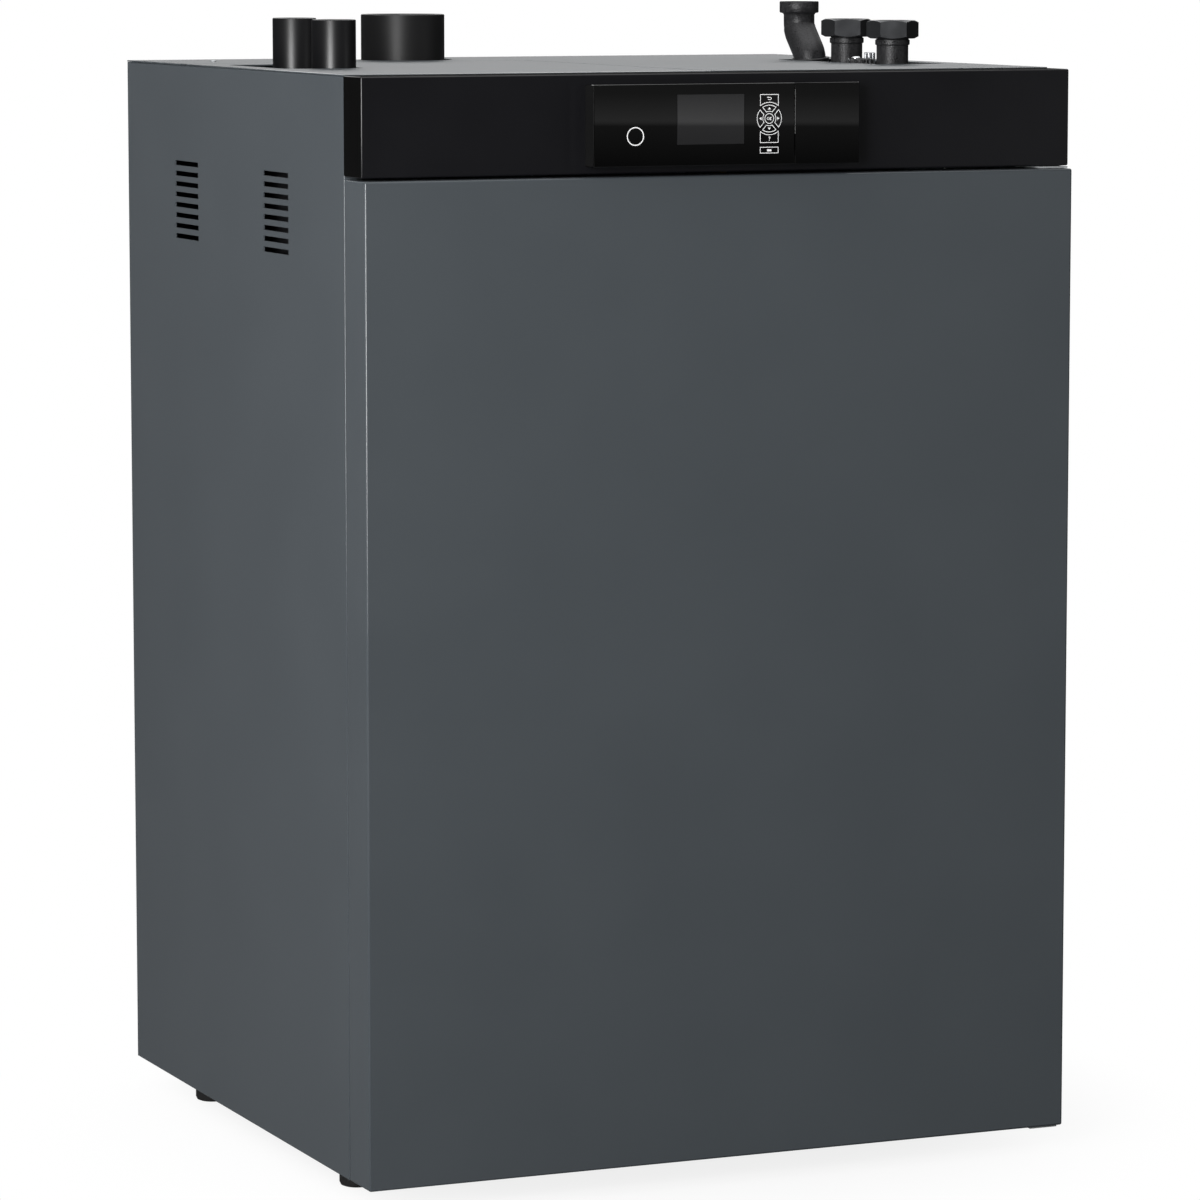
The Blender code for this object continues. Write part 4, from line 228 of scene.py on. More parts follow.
floor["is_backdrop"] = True

# Left and right side panels
# Folded steel sheets in fine-grained anthracite powder coat, each with two columns of
# eight pressed air slots. The coat is smoother on the rounded folds.


def shade(red, green, blue):
    """A colour given as it shows on a screen, from 0 to 255, as the shaders take it."""
    parts = []
    for part in (red, green, blue):
        part = part / 255
        parts.append(part / 12.92 if part <= 0.04045 else ((part + 0.055) / 1.055) ** 2.4)
    return tuple(parts)


def surface(name, tones, rough, metallic=0.0, grain=900, bump=0.00003, patch=7, spread=0.06,
            specular=0.5, ior=1.5):
    """A material with two tones in soft patches, a fine grain and a slightly uneven sheen."""
    made = bpy.data.materials.new(name)
    made.use_nodes = True
    tree = made.node_tree
    shader = tree.nodes["Principled BSDF"]
    shader.inputs["Metallic"].default_value = metallic
    shader.inputs["Specular IOR Level"].default_value = specular
    shader.inputs["IOR"].default_value = ior
    place = node(tree, "ShaderNodeTexCoord").outputs["Object"]
    cloud = node(tree, "ShaderNodeTexNoise", {"Vector": place, "Scale": patch, "Detail": 4}).outputs[0]
    colour = ramp(tree, cloud, [(0.3, tones[0]), (0.7, tones[1])])
    tree.links.new(colour, shader.inputs["Base Color"])
    sheen = span(tree, cloud, 0.3, 0.7, rough - spread / 2, rough + spread / 2)
    tree.links.new(sheen, shader.inputs["Roughness"])
    fine = node(tree, "ShaderNodeTexNoise", {"Vector": place, "Scale": grain, "Detail": 2}).outputs[0]
    relief = node(tree, "ShaderNodeBump", {"Height": fine, "Distance": bump, "Strength": 1})
    tree.links.new(relief.outputs[0], shader.inputs["Normal"])
    return made


def shape_of(name):
    """The CAD node's mesh as a bmesh, merged, with its flat faces joined again."""
    bm = bmesh.new()
    bm.from_mesh(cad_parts[name].data)
    bmesh.ops.remove_doubles(bm, verts=bm.verts, dist=0.00001)
    bmesh.ops.dissolve_limit(bm, angle_limit=0.005, verts=bm.verts, edges=bm.edges)
    for face in bm.faces:
        face.smooth = False
    return bm


def soften(bm, width, chosen=None, segments=2, least=30, slot=0):
    """Rounds the chosen edges, or all that are sharper than the least angle."""
    edges = []
    for edge in bm.edges:
        if not edge.is_manifold or edge.calc_face_angle(0) < math.radians(least):
            continue
        if chosen is None or chosen(edge):
            edges.append(edge)
    made = bmesh.ops.bevel(bm, geom=edges, offset=width, segments=segments, profile=0.5,
                           affect="EDGES", material=-1)
    for face in made["faces"]:
        face.material_index = slot
        face.smooth = True


def rims(bm, mouth=None):
    """A test for edges that run along the bounding box, away from its open side."""
    low = [min(vert.co[axis] for vert in bm.verts) for axis in range(3)]
    high = [max(vert.co[axis] for vert in bm.verts) for axis in range(3)]

    def test(edge):
        sides = set()
        for axis in range(3):
            for end, limit in ((0, low[axis]), (1, high[axis])):
                if all(abs(vert.co[axis] - limit) < 0.0001 for vert in edge.verts):
                    sides.add((axis, end))
        return len(sides) >= 2 and mouth not in sides
    return test


def piece(name, bm, material, body="casing", stands_for=(), smooth=30):
    """Makes a finished object of the bmesh that rides a body and may hide CAD nodes."""
    for edge in bm.edges:
        edge.smooth = edge.is_manifold and edge.calc_face_angle(0) < math.radians(smooth)
    mesh = bpy.data.meshes.new(name)
    bm.to_mesh(mesh)
    bm.free()
    if "custom_normal" in mesh.attributes:
        mesh.attributes.remove(mesh.attributes["custom_normal"])
    for each in material if isinstance(material, list) else [material]:
        mesh.materials.append(each)
    made = bpy.data.objects.new(name, mesh)
    scene.collection.objects.link(made)
    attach(made, body)
    if stands_for:
        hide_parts(*stands_for)
    return made


FOLD = 0.0024
COAT = (shade(61, 66, 70), shade(63, 68, 72))
anthracite = surface("anthracite_coat", COAT, 0.48, grain=1100, bump=0.00004, spread=0.02)
anthracite_fold = surface("anthracite_fold", COAT, 0.22, grain=1100, bump=0.00001)
for side, mouth in (("left", (0, 1)), ("right", (0, 0))):
    panel = f"{side}_side_panel"
    bm = shape_of(panel)
    soften(bm, FOLD / 2, rims(bm, mouth), 3, slot=1)
    piece(f"{side}_side_sheet", bm, [anthracite, anthracite_fold],
          stands_for=(panel,))

# Rear panel
# The same coated sheet, flat, with its folded rim inside. It lies as far in as its screw
# heads are high.
THIN_FOLD = 0.0006
OUTER_SKIN = 0.0008
REAR_SET_IN = 0.0009
bm = shape_of("rear_panel")
soften(bm, THIN_FOLD, rims(bm), 2, slot=1)
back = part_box("rear_panel")[1].y
for vert in bm.verts:
    if vert.co.y > back - OUTER_SKIN:
        vert.co.y -= REAR_SET_IN
piece("rear_sheet", bm, [anthracite, anthracite_fold],
      stands_for=("rear_panel",))

# Top panel
# The fixed part of the top, of the same coated sheet, with a round-cornered opening for the
# pipes and a notch for the flue.
TOP_FOLD = 0.0005
bm = shape_of("top_panel")
soften(bm, TOP_FOLD, rims(bm), 2, slot=1)
piece("top_sheet", bm, [anthracite, anthracite_fold],
      stands_for=("top_panel",))

# Lift-off cover
# A loose coated sheet over the pellet store, with rounded upper edges. It lies on the
# casing by its weight.
COVER_FOLD = 0.0012
bm = shape_of("lift_off_cover")
soften(bm, COVER_FOLD, rims(bm), 2, slot=1)
piece("cover_sheet", bm, [anthracite, anthracite_fold],
      "lift_off_cover", ("lift_off_cover",))

# Front door
# One folded coated sheet over the whole height, without a handle, with softly rounded
# folds. It hangs on two hinge pins at its right edge.
bm = shape_of("front_door")
soften(bm, FOLD, rims(bm, (1, 1)), 3, slot=1)
piece("door_sheet", bm, [anthracite, anthracite_fold], "front_door",
      ("front_door",))

# Fascia
# Moulded band over the door in satin black, with rounded corners. Its top and its left end
# are painted shade: a darker black without sheen, so they look unlit.
SATIN = (shade(11, 11, 14), shade(13, 13, 16))
satin = surface("satin_black", SATIN, 0.32, grain=1300, bump=0.00002, specular=0.48)
satin_fold = surface("satin_fold", SATIN, 0.3, grain=1300, bump=0.00001, specular=0.48)
# Painted shade: a darker black without sheen for the fascia's top and left end.
painted_shade_black = surface("painted_shade_black", (shade(4, 4, 4), shade(5, 5, 5)), 0.95, grain=1300,
                     specular=0.05)
FASCIA_ROUND = 0.0018
bm = shape_of("fascia")
soften(bm, FASCIA_ROUND, rims(bm, (1, 1)), 3, slot=1)
# Painted shade: the top face and the left end take the darker black without sheen.
for face in bm.faces:
    if face.normal.z > 0.9 or face.normal.x < -0.9:
        face.material_index = 2
piece("fascia_band", bm, [satin, satin_fold, painted_shade_black],
      stands_for=("fascia",))

# Control unit housing
# A box moulded in gloss black plastic and set on the front of the fascia, with a fine
# polished edge all round it.
gloss = surface("gloss_black", (shade(3, 3, 3), shade(4, 4, 4)), 0.006, grain=60,
                bump=0.0000001, spread=0.002)
CASE_ROUND = 0.0009
SEAM_ROUND = 0.0008
SEAM_REACH = 0.0006
SEAM_DEPTH = 0.0002
bm = shape_of("control_housing")
soften(bm, CASE_ROUND, rims(bm), 2)
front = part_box("control_housing")[0].y
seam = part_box("control_flap")[0].x
soften(bm, SEAM_ROUND, lambda edge: all(abs(vert.co.x - seam) < SEAM_REACH
                                        and vert.co.y < front + SEAM_DEPTH
                                        for vert in edge.verts))
piece("control_case", bm, gloss, stands_for=("control_housing",))

# Service flap of the control unit
# The same gloss black plastic, with a rounder edge at the seam to the housing, which
# catches the light.
FLAP_SEAM_ROUND = 0.0006
FLAP_ROUND = 0.0004
bm = shape_of("control_flap")
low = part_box("control_flap")[0]
soften(bm, FLAP_SEAM_ROUND, lambda edge: all(vert.co.x < low.x + SEAM_REACH
                                             and vert.co.y < low.y + SEAM_DEPTH
                                             for vert in edge.verts), 3)
soften(bm, FLAP_ROUND, None, 2, least=50)
piece("control_flap_cap", bm, gloss, "control_flap", ("control_flap",))

# Display window
# Grey display behind a flat clear pane, which lies flush in the gloss black housing. The
# two show as one dark glossy surface.
pane = surface("display_pane", (shade(25, 25, 26), shade(28, 28, 29)), 0.006, grain=50,
               bump=0.0000001, spread=0.002, ior=1.85)
PANE_ROUND = 0.0003
bm = shape_of("display_window")
soften(bm, PANE_ROUND, None, 2)
piece("display_pane", bm, pane, stands_for=("display_window",))

# Keys
# Gloss black caps, each with a white printed border and most with a printed sign: arrows,
# a return arrow, a question mark, OK and a bar. The power button has only a wide border.
PRINT_BACK = -0.4018
PRINT_FRONT = -0.40195
KEY_SET_IN = 0.0002
POWER_BORDER = 0.0012
KEY_BORDER = 0.00068
low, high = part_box("key_ok")
KEYPAD = Vector(((low.x + high.x) / 2, 0, (low.z + high.z) / 2))
print_white = surface("key_print", (shade(232, 232, 232), shade(240, 240, 240)), 0.4, grain=400,
                      bump=0.000004)


def sign(bm, outline, place):
    """A thin printed shape: an outline in millimetres round a place on the key's front."""
    corners = [bm.verts.new((place.x + x / 1000, PRINT_BACK, place.z + z / 1000)) for x, z in outline]
    face = bm.faces.new(corners)
    raised = bmesh.ops.extrude_face_region(bm, geom=[face])["geom"]
    tips = [part for part in raised if isinstance(part, bmesh.types.BMVert)]
    bmesh.ops.translate(bm, verts=tips, vec=(0, PRINT_FRONT - PRINT_BACK, 0))
    bmesh.ops.recalc_face_normals(bm, faces=bm.faces)


def bend(x, z, radius, start, end, steps=12):
    """Points of an arc in millimetres."""
    return [(x + radius * math.cos(math.radians(start + (end - start) * step / steps)),
             z + radius * math.sin(math.radians(start + (end - start) * step / steps)))
            for step in range(steps + 1)]


def band_of(path, width):
    """Outline of a stroke of even width along an open path of points."""
    left, right = [], []
    for index, (x, z) in enumerate(path):
        x0, z0 = path[max(index - 1, 0)]
        x1, z1 = path[min(index + 1, len(path) - 1)]
        long = math.hypot(x1 - x0, z1 - z0)
        dx, dz = -(z1 - z0) / long * width / 2, (x1 - x0) / long * width / 2
        left.append((x + dx, z + dz))
        right.append((x - dx, z - dz))
    return left + right[::-1]


SIGNS = {
    "key_up": [((0, 11.0), [(-1.8, -1.1), (1.8, -1.1), (0, 1.3)])],
    "key_down": [((0, -11.0), [(-1.8, 1.1), (0, -1.3), (1.8, 1.1)])],
    "key_left": [((-10.7, 0), [(1.2, -1.6), (1.2, 1.6), (-1.5, 0)])],
    "key_right": [((10.7, 0), [(-1.2, -1.6), (1.5, 0), (-1.2, 1.6)])],
    "key_back": [((0, 21.8), band_of([(-1.4, 1.25), (1.0, 1.25)] + bend(1.0, 0, 1.25, 80, -80, 8)
                                     + [(-1.6, -1.25)], 0.6)),
                 ((-1.4, 23.05), [(-1.3, 0), (0.1, -0.95), (0.1, 0.95)])],
    "key_help": [((0, -21.7), band_of(bend(0, 0.9, 0.95, 150, -50, 10)
                                      + [(0, -0.4), (0, -1.0)], 0.6)),
                 ((0, -23.7), [(-0.35, -0.35), (0.35, -0.35), (0.35, 0.35), (-0.35, 0.35)])],
    "key_menu": [((0, -34.6), [(-2.6, -1.1), (2.6, -1.1), (2.6, 1.1), (-2.6, 1.1)])],
    "key_ok": [((-1.5, 0), band_of([(x, z * 1.25) for x, z in bend(0, 0, 1.1, 95, 435, 16)], 0.45)),
               ((0.65, 0), [(-0.35, -1.6), (0.35, -1.6), (0.35, 1.6), (-0.35, 1.6)]),
               ((1.45, 0.8), [(-0.6, -0.9), (0.15, -0.9), (1.1, 0.8), (0.25, 0.8)]),
               ((1.45, -0.8), [(-0.6, 0.9), (0.25, -0.8), (1.1, -0.8), (0.15, 0.9)])],
    "power_button": [],
}
for key, signs in SIGNS.items():
    bm = shape_of(key)
    front = min(bm.faces, key=lambda face: face.calc_center_median().y)
    bmesh.ops.translate(bm, verts=front.verts, vec=(0, KEY_SET_IN, 0))
    border = POWER_BORDER if key == "power_button" else KEY_BORDER
    for face in bmesh.ops.inset_region(bm, faces=[front], thickness=border,
                                       use_even_offset=True)["faces"]:
        face.material_index = 1
    marks = bmesh.new()
    for (x, z), outline in signs:
        sign(marks, outline, KEYPAD + Vector((x / 1000, 0, z / 1000)))
    for face in marks.faces:
        face.material_index = 1
    printed = bpy.data.meshes.new(f"{key}_signs")
    marks.to_mesh(printed)
    marks.free()
    bm.from_mesh(printed)
    piece(f"{key}_cap", bm, [gloss, print_white], key, (key,))

# Hose stubs
# Black lacquered steel tubes with a rolled rim and a welded flange, which stand on the
# separator box and come up through the cover.


def lathe(profile, place=(0, 0, 0), steps=48, bm=None, closed=False, axis=(0, 0, 1)):
    """Spins (radius, height) points round an axis through a place."""
    own = bmesh.new()
    ring = [own.verts.new((radius, 0, z)) for radius, z in profile]
    edges = [own.edges.new(pair) for pair in zip(ring, ring[1:])]
    if closed:
        edges.append(own.edges.new((ring[-1], ring[0])))
    bmesh.ops.spin(own, geom=ring + edges, cent=(0, 0, 0), axis=(0, 0, 1), angle=math.tau,
                   steps=steps, use_merge=True)
    bmesh.ops.remove_doubles(own, verts=own.verts, dist=0.000005)
    bmesh.ops.recalc_face_normals(own, faces=own.faces)
    for face in own.faces:
        face.smooth = True
    turn = Vector((0, 0, 1)).rotation_difference(Vector(axis))
    bmesh.ops.rotate(own, verts=own.verts, cent=(0, 0, 0), matrix=turn.to_matrix())
    bmesh.ops.translate(own, verts=own.verts, vec=place)
    if bm is None:
        return own
    merged = bpy.data.meshes.new("turned")
    own.to_mesh(merged)
    own.free()
    bm.from_mesh(merged)
    return bm


def tube_profile(outer, wall, bottom, top, rim=0.0012):
    """A tube with a soft rim at its upper end."""
    inner = outer - wall
    return [(inner, bottom), (outer, bottom), (outer, top - rim),
            (outer - rim * 0.3, top - rim * 0.3), (outer - rim, top), (inner + rim * 0.4, top),
            (inner, top - rim * 0.5)]


def middle(name):
    """The middle of a CAD node's box, seen from above, at floor height."""
    low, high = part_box(name)
    return (low.x + high.x) / 2, (low.y + high.y) / 2, 0


lacquer = surface("black_lacquer", (shade(5, 5, 7), shade(7, 7, 9)), 0.33, grain=700,
                  bump=0.00001, specular=0.62)
STUB_RADIUS = 0.025
STUB_WALL = 0.003
FLANGE_HEIGHT = 0.005
FLANGE_EDGE = 0.0006
for name in ("return_air_stub", "pellet_hose_stub"):
    low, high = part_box(name)
    flange = (high.x - low.x) / 2
    bm = lathe(tube_profile(STUB_RADIUS, STUB_WALL, low.z, high.z), middle(name), closed=True)
    lathe([(STUB_RADIUS, low.z), (flange, low.z), (flange, low.z + FLANGE_HEIGHT - FLANGE_EDGE),
           (flange - FLANGE_EDGE, low.z + FLANGE_HEIGHT), (STUB_RADIUS, low.z + FLANGE_HEIGHT)],
          middle(name), bm=bm, closed=True)
    piece(f"{name}_tube", bm, lacquer, stands_for=(name,))

# Flue stub
# A wider tube behind them, lacquered a little duller, which leads the flue gas from the
# fan's housing up through the notch in the top.
duller = surface("flue_lacquer", (shade(10, 10, 11), shade(13, 13, 14)), 0.42, grain=700,
                 bump=0.00001)
low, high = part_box("flue_stub")
bm = lathe(tube_profile((high.x - low.x) / 2, STUB_WALL, low.z, high.z), middle("flue_stub"), 64,
           closed=True)
piece("flue_tube", bm, duller, stands_for=("flue_stub",))

# Supply, return and safety pipes
# Blackened malleable iron with a rough cast skin. Two run up to the union nuts. The third
# ends in a bend set off to the back, with a rolled collar.


def pipe(path, radii, bm=None, sides=32, closed=False):
    """Rings round the points of a path, joined to a tube."""
    bm = bm or bmesh.new()
    points = [Vector(point) for point in path]
    heading = (points[1] - points[0]).normalized()
    turn = Vector((0, 0, 1)).rotation_difference(heading)
    before = None
    for index, point in enumerate(points):
        ahead = points[min(index + 1, len(points) - 1)] - points[max(index - 1, 0)]
        turn = heading.rotation_difference(ahead.normalized()) @ turn
        heading = ahead.normalized()
        ends = closed and index in (0, len(points) - 1)
        radius = radii[index] if isinstance(radii, list) else radii
        ring = bmesh.ops.create_circle(bm, cap_ends=ends, segments=sides, radius=radius,
                                       matrix=Matrix.Translation(point) @ turn.to_matrix().to_4x4())
        edges = {edge for vert in ring["verts"] for edge in vert.link_edges}
        if before:
            bmesh.ops.bridge_loops(bm, edges=list(before | edges))
        before = edges
    bmesh.ops.recalc_face_normals(bm, faces=bm.faces)
    for face in bm.faces:
        face.smooth = True
    return bm


def arch(centre, radius, start, end, steps=8):
    """Points of an arc, in the two directions that the centre is given in."""
    return [(centre[0] + radius * math.cos(math.radians(start + (end - start) * step / steps)),
             centre[1] + radius * math.sin(math.radians(start + (end - start) * step / steps)))
            for step in range(steps + 1)]


iron = surface("cast_iron_skin", (shade(24, 24, 25), shade(56, 56, 58)), 0.38, 0.3, grain=700,
               bump=0.0004, patch=520, spread=0.24)
PIPE = 0.0185
BORE = 0.016
PIPE_X = 0.338
SOCKET_X = 0.2684
ELBOW = 0.040
SWAN_BEND = 0.022
SWAN_OFFSET = 0.032
TOP = 1.237
SOCKETS = {"supply_pipe": (0.013, 0.8799), "return_pipe": (-0.108, 0.3049),
           "swan_neck_bend": (0.112, 0.8799)}
RISER_END = ((0.0210, PIPE), (0.0222, PIPE + 0.0016), (0.0272, PIPE + 0.0016),
             (0.0282, PIPE + 0.0002), (0.0475, PIPE - 0.0004), (0.0475, BORE), (0.0300, BORE))
SWAN_END = ((0.0530, PIPE), (0.0548, PIPE + 0.0012), (0.0555, PIPE + 0.0042), (0.0565, 0.0235),
            (0.0680, 0.0235), (0.0690, 0.0228), (0.0690, 0.0170), (0.0675, BORE), (0.0450, BORE))
for name, (y, z) in SOCKETS.items():
    path = [(SOCKET_X, y, z)]
    path += [(x, y, up) for x, up in arch((PIPE_X - ELBOW, z + ELBOW), ELBOW, -90, 0)]
    radii = [PIPE] * len(path)
    last = RISER_END
    if name == "swan_neck_bend":
        lower = arch((y + SWAN_BEND, TOP - 0.005), SWAN_BEND, 180, 135)
        upper = arch((y + SWAN_OFFSET - SWAN_BEND, TOP + 0.0453), SWAN_BEND, -45, 0)
        bent = [(PIPE_X, along, up) for along, up in lower + upper]
        path += bent
        radii += [PIPE] * 4 + [PIPE + 0.0006] * (len(bent) - 8) + [PIPE] * 4
        y += SWAN_OFFSET
        last = SWAN_END
    for up, radius in last:
        path.append((PIPE_X, y, TOP + up))
        radii.append(radius)
    piece(f"{name}_form", pipe(path, radii), iron, stands_for=(name,), smooth=40)

# Union nuts
# Loose hexagon nuts on the two risers, turned from bar, so their corners are chamfered to
# arcs, and blackened.
nut_skin = surface("blackened_nut", (shade(58, 59, 61), shade(66, 67, 69)), 0.34, 0.75, grain=500,
                   bump=0.00002, patch=60)
NUT_BORE = 0.0191
NUT_FLAT = 0.02625
NUT_CORNER = 0.0303
NUT_CHAMFER = 0.0024
NUT_FACE = NUT_FLAT - 0.0006
NUT_TURN = -24
for name in ("supply_union_nut", "return_union_nut"):
    low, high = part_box(name)
    bm = lathe([(NUT_BORE, low.z), (NUT_FACE, low.z), (NUT_CORNER, low.z + NUT_CHAMFER),
                (NUT_CORNER, high.z - NUT_CHAMFER), (NUT_FACE, high.z), (NUT_BORE, high.z)],
               steps=96, closed=True)
    for side in range(6):
        angle = math.radians(NUT_TURN - 90 + 60 * side)
        out = Vector((math.cos(angle), math.sin(angle), 0))
        cut = bmesh.ops.bisect_plane(bm, geom=[*bm.verts, *bm.edges, *bm.faces], dist=0.000001,
                                     plane_co=out * NUT_FLAT, plane_no=out, clear_outer=True)
        rim = [part for part in cut["geom_cut"] if isinstance(part, bmesh.types.BMEdge)]
        bmesh.ops.contextual_create(bm, geom=rim)
    bmesh.ops.recalc_face_normals(bm, faces=bm.faces)
    bmesh.ops.translate(bm, verts=bm.verts, vec=middle(name))
    piece(f"{name}_form", bm, nut_skin, name, (name,), 20)

# Air vent between the nuts
# Its knurled black body, polished dome and ribbed zinc cap stick out of the pipe opening,
# with a small sensor head and its thin wire. They stand on the vessel's fittings.
polished = surface("polished_cap", (shade(205, 206, 208), shade(222, 223, 225)), 0.12, 1.0,
                   grain=300, bump=0.000004, patch=60)
ribbed = surface("ribbed_cap", (shade(160, 162, 165), shade(186, 188, 191)), 0.3, 0.8, grain=300,
                 bump=0.00001, patch=60)
STEM_FOOT = 1.170
VENT = (0.3215, -0.0605)
VENT_RADIUS = 0.0138
VENT_TOP = 1.2422
DOME = (0.3154, -0.0578, 1.2418)
CAP = (0.352, -0.020)
CAP_RADIUS = 0.0066
CAP_TOP = 1.2482
SENSOR = (0.3172, -0.0925, STEM_FOOT)


def crown(place, radius, teeth, depth, bottom, top):
    """An upright cap whose side is cut into teeth, with a softened top."""
    bm = bmesh.new()
    rings = []
    for z, share in ((bottom, 1.0), (top - radius * 0.12, 1.0), (top, 0.86)):
        ring = []
        for step in range(teeth * 4):
            angle = math.tau * step / (teeth * 4)
            reach = radius * share - (depth if step % 4 in (2, 3) else 0)
            ring.append(bm.verts.new((place[0] + reach * math.cos(angle),
                                      place[1] + reach * math.sin(angle), z)))
        rings.append(ring)
    for lower, upper in zip(rings, rings[1:]):
        for index in range(len(lower)):
            bm.faces.new((lower[index - 1], lower[index], upper[index], upper[index - 1]))
    bm.faces.new(rings[-1])
    bm.faces.new(rings[0][::-1])
    bmesh.ops.recalc_face_normals(bm, faces=bm.faces)
    return bm


bm = crown(VENT, VENT_RADIUS, 24, 0.0007, STEM_FOOT, VENT_TOP)
piece("vent_body", bm, iron)
bm = lathe([(0, 0), (0.0056, 0), (0.0055, 0.0010), (0.0044, 0.0022), (0.0024, 0.0029), (0, 0.0031)],
           DOME, 32)
piece("vent_dome", bm, polished)
bm = crown(CAP, CAP_RADIUS, 14, 0.0006, STEM_FOOT, CAP_TOP)
piece("vent_ribbed_cap", bm, ribbed)
bm = lathe([(0, 0), (0.0027, 0), (0.0027, 0.0705), (0.0019, 0.0722), (0, 0.0728)], SENSOR, 20)
piece("sensor_head", bm, nut_skin)
wire = [(0.3105, -0.0560, 1.2300), (0.3098, -0.0540, 1.2385), (0.3092, -0.0525, 1.2410),
        (0.3094, -0.0500, 1.2420), (0.3102, -0.0475, 1.2405), (0.3110, -0.0460, 1.2360)]
piece("sensor_wire", pipe(wire, 0.0004, sides=8, closed=True), ribbed)

# Sleeve at the safety pipe
# A turned black collar, which lies loose and a little askew round the pipe where it comes
# up out of the casing.
SLEEVE_TILT = -5
SLEEVE_PLACE = (PIPE_X, SOCKETS["swan_neck_bend"][0], TOP + 0.0005)
bm = lathe([(0.0189, -0.010), (0.0222, -0.010), (0.0226, 0.0010), (0.0220, 0.0018),
            (0.0194, 0.0018), (0.0189, 0.0010)], closed=True)
tilt = Matrix.Rotation(math.radians(SLEEVE_TILT), 3, (-0.4, 0.9, 0))
bmesh.ops.rotate(bm, verts=bm.verts, cent=(0, 0, 0), matrix=tilt)
bmesh.ops.translate(bm, verts=bm.verts, vec=SLEEVE_PLACE)
piece("pipe_sleeve", bm, lacquer)

# Levelling feet
# Black rubber caps on steel stems, which screw up and down in the bushes of the base tray,
# so that the boiler stands level.
rubber = surface("black_rubber", (shade(22, 22, 22), shade(27, 27, 27)), 0.6, grain=500,
                 bump=0.00004)
STEM = 0.006
STEM_EDGE = 0.0006
for name in ("foot_front_left", "foot_front_right", "foot_rear_left", "foot_rear_right"):
    stem_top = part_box(name)[1].z
    bm = lathe([(0, 0), (0.0155, 0), (0.0185, 0.0012), (0.0200, 0.0045), (0.0200, 0.0275),
                (0.0193, 0.0290), (0.0180, 0.0296), (STEM, 0.0296), (STEM, stem_top - STEM_EDGE),
                (STEM - STEM_EDGE, stem_top), (0, stem_top)], middle(name), 40)
    piece(f"{name}_form", bm, rubber, name, (name,))

# Frame of the casing
# Base tray, crossbar and hinge brackets are pressed from zinc-coated steel sheet. Pan-head
# screws show in the front of the crossbar.
zinc = surface("galvanised_sheet", (shade(158, 161, 163), shade(176, 179, 181)), 0.42, 0.45,
               grain=300, bump=0.00001, patch=90, spread=0.16)


def clothe(material, *names):
    """Gives its material to CAD nodes that stay in sight as they are."""
    for each in names:
        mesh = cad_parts[each].data
        mesh.materials.clear()
        mesh.materials.append(material)


def heads(name, places, axis, radius, body="casing", hexagon=False):
    """Pan-head screws with a round socket, or hexagon bolts on washers, as one piece."""
    bm = bmesh.new()
    rise = radius * 0.55
    for place in places:
        if hexagon:
            lathe([(0, 0), (radius * 1.2, 0), (radius * 1.2, rise * 0.3), (0, rise * 0.3)], place, 24,
                  bm, axis=axis)
            lathe([(0, rise * 0.3), (radius, rise * 0.3), (radius, rise * 1.2),
                   (radius * 0.86, rise * 1.35), (0, rise * 1.35)], place, 6, bm, axis=axis)
        else:
            lathe([(0, 0), (radius, 0), (radius, rise * 0.3), (radius * 0.88, rise * 0.75),
                   (radius * 0.6, rise), (radius * 0.42, rise), (radius * 0.42, rise * 0.4),
                   (0, rise * 0.4)], place, 20, bm, axis=axis)
    piece(name, bm, zinc, body)


clothe(zinc, "base_tray", "front_crossbar", "upper_hinge", "lower_hinge")
CROSSBAR_SCREWS = ((-0.410, 1.1765), (0.410, 1.1765), (-0.300, 1.137), (0.240, 1.137))
bar_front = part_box("front_crossbar")[0].y
heads("crossbar_screws", [(x, bar_front, z) for x, z in CROSSBAR_SCREWS], (0, -1, 0), 0.0032)

# Screws in the rear and top panels
# Low zinc-plated pan heads, in rows along the rims of the rear panel and one at the rear
# left of the top.
SIDE_COLUMNS = (-0.414, 0.414)
COLUMN_SCREWS = (0.065, 0.350, 0.635, 0.920, 1.205)
CROSS_ROWS = (0.041, 1.224)
ROW_SCREWS = (-0.210, 0, 0.210)
rear_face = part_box("rear_panel")[1].y - REAR_SET_IN
rear_places = [(x, rear_face, z) for x in SIDE_COLUMNS for z in COLUMN_SCREWS]
rear_places += [(x, rear_face, z) for x in ROW_SCREWS for z in CROSS_ROWS]
heads("rear_screws", rear_places, (0, 1, 0), 0.0016)
heads("top_screw", [(-0.360, 0.277, TOP)], (0, 0, 1), 0.0034)

# Boiler vessel and smoke box
# Welded steel plate in heat-resistant grey paint, with raised weld beads along the corners
# and a bolted cleaning cover.
vessel = surface("vessel_paint", (shade(62, 64, 66), shade(74, 76, 78)), 0.55, 0.2, grain=500,
                 bump=0.00006, patch=20)
clothe(vessel, "boiler_body", "smoke_box")
BEAD_SET_IN = 0.0015
BEAD_SET_BACK = 0.0013
BEAD_BOTTOM = 0.956
BEAD_HEIGHT = 0.130
BEAD_STEPS = 60
BEAD = 0.0022
BEAD_RIPPLE = 0.0005
low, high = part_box("smoke_box")
beads = bmesh.new()
ripple = [BEAD + BEAD_RIPPLE * (step % 2) for step in range(BEAD_STEPS + 1)]
for x in (low.x + BEAD_SET_IN, high.x - BEAD_SET_IN):
    path = [(x, low.y + BEAD_SET_BACK, BEAD_BOTTOM + BEAD_HEIGHT * step / BEAD_STEPS)
            for step in range(BEAD_STEPS + 1)]
    pipe(path, ripple, beads, 10, True)
piece("smoke_box_welds", beads, vessel)
BOLT_COLUMNS = (-0.045, 0.1005, 0.246)
BOLT_ROWS = (0.972, 1.069)
heads("smoke_box_bolts", [(x, low.y, z) for x in BOLT_COLUMNS for z in BOLT_ROWS],
      (0, -1, 0), 0.0055, hexagon=True)

